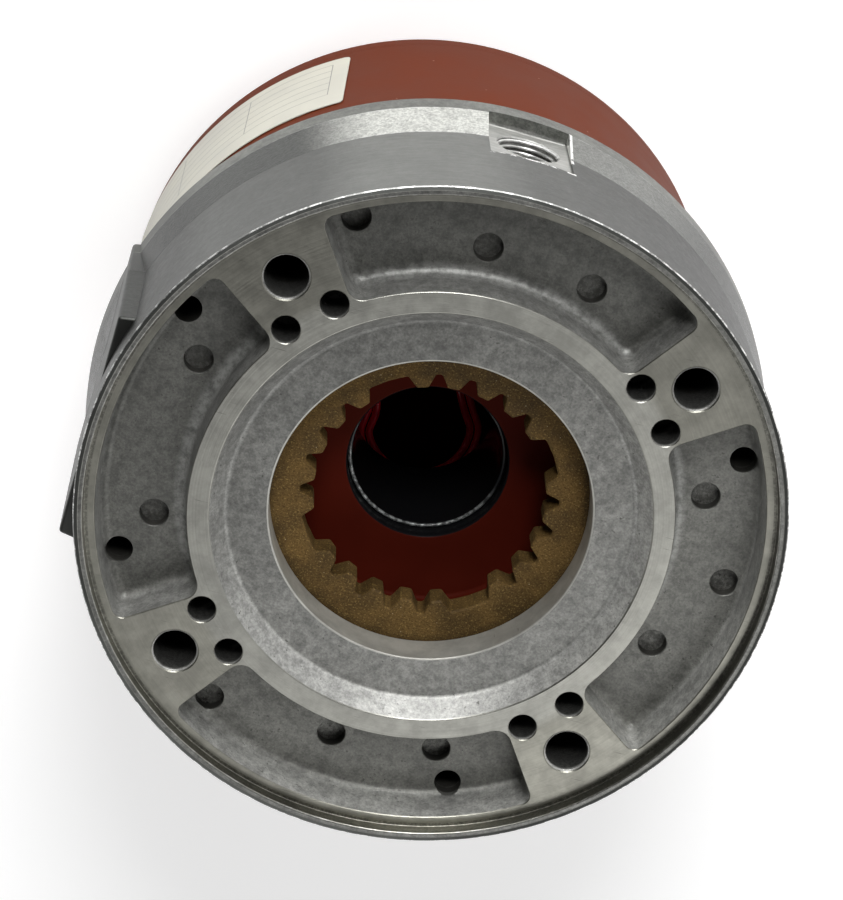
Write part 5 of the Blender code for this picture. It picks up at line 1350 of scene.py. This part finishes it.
def label_finish():
    card = Shader("label_finish")
    spread = card.noise(20 * MM, 4.0)
    colour = card.tint(LABEL_CREAM, spread.ramp(0.3, 0.7, 0.90, 1.03))
    sheet_place = card.node("ShaderNodeUVMap", {"uv_map": "sheet"}, [], None)
    parts = card.node("ShaderNodeSeparateXYZ", {}, [Value(card, sheet_place.outputs[0])], None)
    along, height = (Value(card, parts.outputs[axis]) for axis in "XY")
    ink = None
    for rule_height in RULE_HEIGHTS:
        rule = height.between(rule_height - 0.16 * MM, rule_height + 0.16 * MM, 0.06 * MM)
        ink = rule if ink is None else ink.most(rule)
    form = height.between(RULE_HEIGHTS[-1], RULE_HEIGHTS[0], 0.1 * MM)
    for side in (*RULE_ENDS, *BOX_SIDES):
        ink = ink.most(along.between(side - 0.16 * MM, side + 0.16 * MM, 0.06 * MM) * form)
    ink = ink * along.between(RULE_ENDS[0] - 0.2 * MM, RULE_ENDS[1] + 0.2 * MM, 0.05 * MM)
    colour = card.mix(ink * 0.8, colour, RULE_GREY)
    return card.finish(colour, spread.ramp(0.3, 0.7, 0.38, 0.5), 0.0, card.noise(3 * MM), 0.01 * MM,
                       Specular_IOR_Level=0.3)


dress(label, label_finish(), "stator", "label_white", "nameplate_label")

# %% [markdown]
# ## Sleeve, armature and pins
#
# A gloss black sleeve lines the magnet's bore, and its rolled front edge catches the light; light
# specks on the -y side of that edge are a painted highlight. The armature is a flat ground steel
# ring that slides on four pins.

# %% Turn the sleeve and armature
SLEEVE_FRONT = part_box("bore_sleeve")[1].z
SLEEVE_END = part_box("bore_sleeve")[0].z
SLEEVE_OUTER = 25.9 * MM
SLEEVE_INNER = 24.7 * MM
SLEEVE_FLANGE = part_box("bore_sleeve")[1].x
SLEEVE_SEAT = SLEEVE_END + 1.6 * MM
ARMATURE_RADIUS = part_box("armature_plate")[1].x
ARMATURE_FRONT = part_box("armature_plate")[1].z
ARMATURE_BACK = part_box("armature_plate")[0].z

sleeve = new_object("bore_sleeve_fine", turned("bore_sleeve_fine", [
    (SLEEVE_INNER, SLEEVE_FRONT, 0.58 * MM), (SLEEVE_OUTER, SLEEVE_FRONT, 0.58 * MM),
    (SLEEVE_OUTER, SLEEVE_SEAT, 0.2 * MM), (SLEEVE_FLANGE, SLEEVE_SEAT, 0.4 * MM),
    (SLEEVE_FLANGE, SLEEVE_END, 0.4 * MM), (SLEEVE_INNER, SLEEVE_END, 0.4 * MM)]))
polish(sleeve, 50.0)


def sleeve_finish():
    tube_wall = Shader("sleeve_finish")
    sparks = tube_wall.noise(1.8 * MM, 5.0, 0.7)
    rim = tube_wall.z.ramp(SLEEVE_FRONT - 1.0 * MM, SLEEVE_FRONT - 0.3 * MM)
    side = tube_wall.angle.between(math.radians(-175.0), math.radians(-25.0), 0.3)
    # Painted highlight: light specks on the -y side of the rolled rim.
    rim_highlight = rim * side * sparks.ramp(0.44, 0.62, 0.10, 1.0)
    colour = tube_wall.mix(rim_highlight, HOLE_BLACK, (0.48, 0.50, 0.49))
    dents = tube_wall.noise(9 * MM, 3.0)
    return tube_wall.finish(colour, 0.14 + rim * 0.14, rim_highlight * 0.6, dents, 0.06 * MM)


dress(sleeve, sleeve_finish(), "stator", "gloss_black_sleeve", "bore_sleeve")
armature = new_object("armature_plate_fine", turned("armature_plate_fine", [
    (POLE_BORE, ARMATURE_FRONT, 0.5 * MM), (ARMATURE_RADIUS, ARMATURE_FRONT, 0.5 * MM),
    (ARMATURE_RADIUS, ARMATURE_BACK, 0.5 * MM), (POLE_BORE, ARMATURE_BACK, 0.5 * MM)]))
cut(armature, join_meshes("pin_holes", bores(
    PIN_CIRCLE, bolt_angles, 4.9 * MM, PAD_Z - ARMATURE_FRONT - 2 * MM,
    PAD_Z - ARMATURE_BACK + 2 * MM)))
polish(armature)
dress(armature, ground_steel, "armature", "ground_steel", "armature_plate")

# %% Set the pins
PIN_RADIUS = 4.5 * MM
pin_low, pin_high = (corner.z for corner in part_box("torque_pin_1"))
pin = turned_solid("torque_pin", [(PIN_RADIUS, pin_high - pin_low, 0.8 * MM),
                                  (PIN_RADIUS, 0.0, 0.8 * MM)], 32)
pins = set_of_copies("torque_pins_fine", pin,
                     [polar(PIN_CIRCLE, angle, pin_low) for angle in bolt_angles], ground_steel)
polish(pins)
dress(pins, ground_steel, "stator", "ground_steel", *[f"torque_pin_{k + 1}" for k in range(4)])

# %% [markdown]
# ## Socket head screws
#
# Four screws stand deep in the dark holes of the pockets, and six hold the rear cover. Both are the
# same kind, so one function lofts a screw: from the bottom of the hexagon socket up, over the head's
# rounded edge, and down the shank. The sets are copies on points, each turned as it happened to stop.

# %% Make and set the screws
SHANK_RADIUS = 2.5 * MM
SOCKET_FLATS = 4.0 * MM
SCREW_STEPS = 48


def hexagon(flats, z, steps=SCREW_STEPS):
    ring = []
    for k in range(steps):
        angle = 2 * math.pi * k / steps
        lean = angle % (math.pi / 3) - math.pi / 6
        ring.append(polar(flats / 2 / math.cos(lean), angle, z))
    return ring


def socket_screw(name, head_height, total):
    """A screw whose head's top is at height 0 and whose shank hangs down."""
    edge = 0.5 * MM
    rings = [hexagon(SOCKET_FLATS, -0.6 * head_height), hexagon(SOCKET_FLATS, 0.0)]
    rings += plug(0.0, 0.0, [
        (HEAD_RADIUS - edge, 0.0), (HEAD_RADIUS - edge * 0.3, -edge * 0.3), (HEAD_RADIUS, -edge),
        (HEAD_RADIUS, -head_height), (SHANK_RADIUS, -head_height),
        (SHANK_RADIUS, edge - total), (SHANK_RADIUS - edge, -total)], SCREW_STEPS)
    return loft(name, rings)


screw_low, screw_high = (corner.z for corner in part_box("housing_screw_1"))
housing_screws = set_of_copies(
    "housing_screws_fine", socket_screw("housing_screw", 5.0 * MM, screw_high - screw_low),
    [polar(SCREW_CIRCLE, angle, screw_high) for angle in SCREW_ANGLES], black_oxide, math.pi / 3)
polish(housing_screws)
dress(housing_screws, black_oxide, "stator", "black_oxide_steel",
      *[f"housing_screw_{k + 1}" for k in range(4)])

cover_low, cover_high = (corner.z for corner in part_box("cover_screw_1"))
cover_screw = socket_screw("cover_screw", 3.0 * MM, cover_high - cover_low)
cover_screw.transform(Matrix.Rotation(math.pi, 4, "X"))
cover_screws = set_of_copies(
    "cover_screws_fine", cover_screw,
    [polar(COVER_SCREW_CIRCLE, angle, cover_low) for angle in cover_angles],
    black_oxide, math.pi / 3, 5)
polish(cover_screws)
dress(cover_screws, black_oxide, "stator", "black_oxide_steel",
      *[f"cover_screw_{k + 1}" for k in range(6)])

# %% [markdown]
# ## The brake springs
#
# Six springs stand in the magnet's pockets and push the armature. Their end turns lie nearly flat,
# so the height along the spiral follows a smooth step and not a straight line. They shorten when the
# armature is pulled back.

# %% Wind the springs
SPRING_RADIUS = 3.4 * MM
WIRE_RADIUS = 0.75 * MM
spring_low, spring_high = (corner.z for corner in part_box("brake_spring_1"))
SPRING_LENGTH = spring_high - spring_low - 2 * WIRE_RADIUS
springs_tree = Tree("brake_springs_fine", Turns=5.5, Radius=SPRING_RADIUS, Wire=WIRE_RADIUS,
                    Length=SPRING_LENGTH)
coil = springs_tree.node("GeometryNodeCurveSpiral", {}, {
    "Resolution": 24, "Rotations": springs_tree.size("Turns"),
    "Start Radius": springs_tree.size("Radius"), "End Radius": springs_tree.size("Radius"),
    "Height": 0.0})
along = springs_tree.node("GeometryNodeSplineParameter", {}, {}, "Factor")
rise = springs_tree.node("ShaderNodeMapRange", {"interpolation_type": "SMOOTHSTEP"}, {
    "Value": along, "To Max": springs_tree.size("Length")})
lift_up = springs_tree.node("ShaderNodeCombineXYZ", {}, {"Z": rise})
coil = springs_tree.node("GeometryNodeSetPosition", {}, {"Geometry": coil, "Offset": lift_up})
wire = springs_tree.node("GeometryNodeCurvePrimitiveCircle", {}, {
    "Resolution": 12, "Radius": springs_tree.size("Wire")})
wound = springs_tree.node("GeometryNodeCurveToMesh", {}, {
    "Curve": coil, "Profile Curve": wire, "Fill Caps": True})
springs = springs_tree.grow(
    [polar(SPRING_CIRCLE, angle, spring_low + WIRE_RADIUS) for angle in spring_angles],
    on_places(springs_tree, wound, 1.0, 3), spring_steel)
polish(springs, 60.0)
dress(springs, spring_steel, "stator", "spring_steel", *[f"brake_spring_{k + 1}" for k in range(6)])
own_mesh(springs)

# %% [markdown]
# ## The coil's leads
#
# Two red leads come out of a grommet behind the magnet, make one loop round the bore where they can
# be seen, and end in the terminal block. The route goes through a few given points, joined
# by one smooth curve, and the two leads lie side by side until they part at the block.

# %% Lay the leads
LEAD_RADIUS = 1.3 * MM
LEAD_SIDE = LEAD_RADIUS + 0.15 * MM
LEAD_DEPTH = 108.8 * MM
LEAD_POINTS = 220
LOOP_RADIUS = 19.0 * MM
LOOP_CENTRE = Vector((2.0 * MM, -12.0 * MM, up(LEAD_DEPTH)))
LOOP_START = math.radians(165.0)
LOOP_TURN = math.radians(245.0)
LOOP_KNOTS = 7
TERMINAL_ANGLE = math.radians(100.0)
TERMINAL_ENTRY = 58.0 * MM
TERMINAL_HALF_PITCH = 6.0 * MM


def smooth_route(corners, count):
    """Evenly spaced points of one smooth curve through given points."""
    padded = [corners[0] * 2 - corners[1], *corners, corners[-1] * 2 - corners[-2]]
    fine = []
    for a, b, c, d in zip(padded, padded[1:], padded[2:], padded[3:]):
        for i in range(20):
            t = i / 20
            fine.append((2 * b + (c - a) * t + (2 * a - 5 * b + 4 * c - d) * t ** 2
                         + (3 * b - a - 3 * c + d) * t ** 3) / 2)
    fine.append(corners[-1])
    reach = [0.0]
    for p, q in zip(fine, fine[1:]):
        reach.append(reach[-1] + (q - p).length)
    points = []
    k = 0
    for i in range(count):
        target = reach[-1] * i / (count - 1)
        while k < len(fine) - 2 and reach[k + 1] < target:
            k += 1
        points.append(fine[k].lerp(fine[k + 1], (target - reach[k]) / (reach[k + 1] - reach[k])))
    return points


def lead_route():
    hole = polar(LEAD_HOLE_CIRCLE, LEAD_HOLE_ANGLE)
    outward = polar(1.0, TERMINAL_ANGLE)
    level = Vector((0.0, 0.0, up(LEAD_DEPTH)))
    corners = [hole + Vector((0.0, 0.0, up(depth))) for depth in (77.4 * MM, 97.0 * MM, 101.8 * MM)]
    loop = [LOOP_CENTRE + polar(LOOP_RADIUS, LOOP_START + LOOP_TURN * i / (LOOP_KNOTS - 1))
            for i in range(LOOP_KNOTS)]
    run = loop[0] - hole - level
    corners += [hole + level + run * share for share in (0.2, 0.6)]
    corners += loop
    corners += [outward * (TERMINAL_ENTRY + step) + level for step in (-16 * MM, -8 * MM, 5 * MM)]
    return smooth_route(corners, LEAD_POINTS)


def tube(name, points, radius):
    """A round wire through points, as a mesh."""
    curve = bpy.data.curves.new(name, "CURVE")
    curve.dimensions = "3D"
    curve.bevel_depth = radius
    curve.bevel_resolution = 4
    curve.use_fill_caps = True
    spline = curve.splines.new("POLY")
    spline.points.add(len(points) - 1)
    for knot, point in zip(spline.points, points):
        knot.co = (*point, 1.0)
    shape = bpy.data.objects.new(name, curve)
    bpy.context.scene.collection.objects.link(shape)
    depsgraph = bpy.context.evaluated_depsgraph_get()
    mesh = bpy.data.meshes.new_from_object(shape.evaluated_get(depsgraph))
    bpy.data.objects.remove(shape)
    bm = bmesh.new()
    bm.from_mesh(mesh)
    bmesh.ops.remove_doubles(bm, verts=bm.verts, dist=0.000002)
    return mesh_from(bm, name)


centre_line = lead_route()
ways = [(q - p).normalized() for p, q in zip(centre_line, centre_line[1:])]
ways.append(ways[-1])
levels = [Vector((way.x, way.y, 0.0)) for way in ways]
first_level = next(way for way in levels if way.length > 0.5)
levels = [first_level if way.length < 0.5 else way for way in levels]
leads = []
for side in (-1, 1):
    points = []
    for point, way in zip(centre_line, levels):
        on_way = point.y > 0 and point.x > -TERMINAL_ENTRY / 2
        radius = Vector((point.x, point.y)).length if on_way else 0.0
        share = min(1.0, max(0.0, (radius - TERMINAL_ENTRY / 3) / (TERMINAL_ENTRY / 2)))
        apart = share * share * (3 - 2 * share) * (TERMINAL_HALF_PITCH - LEAD_SIDE)
        sideward = Vector((way.y, -way.x, 0.0)).normalized()
        points.append(point + sideward * side * (LEAD_SIDE + apart))
    leads.append(tube("lead", points, LEAD_RADIUS))
lead_pair = new_object("coil_leads_fine", join_meshes("coil_leads_fine", leads))
polish(lead_pair, 50.0)
dress(lead_pair, red_insulation, "stator", "red_lead_insulation", "lead_wire_1", "lead_wire_2")

# %% [markdown]
# ## Finishes for the pieces that stay
#
# The coil, its bobbin, the potting, the grommet and the terminals are shut in, and their packed
# shapes are good enough. They only need a finish each.

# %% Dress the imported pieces
STAYING = {
    "coil_potting": black_plastic, "coil_bobbin": black_plastic, "coil_winding": copper,
    "lead_grommet": black_rubber, "terminal_block": black_plastic,
    "terminal_screw_1": zinc_steel, "terminal_screw_2": zinc_steel,
    "terminal_fixing_screw_1": zinc_steel, "terminal_fixing_screw_2": zinc_steel,
}
for name, material in STAYING.items():
    nodes[name].data.materials.clear()
    nodes[name].data.materials.append(material)
print("dressed", len(STAYING), "packed pieces")
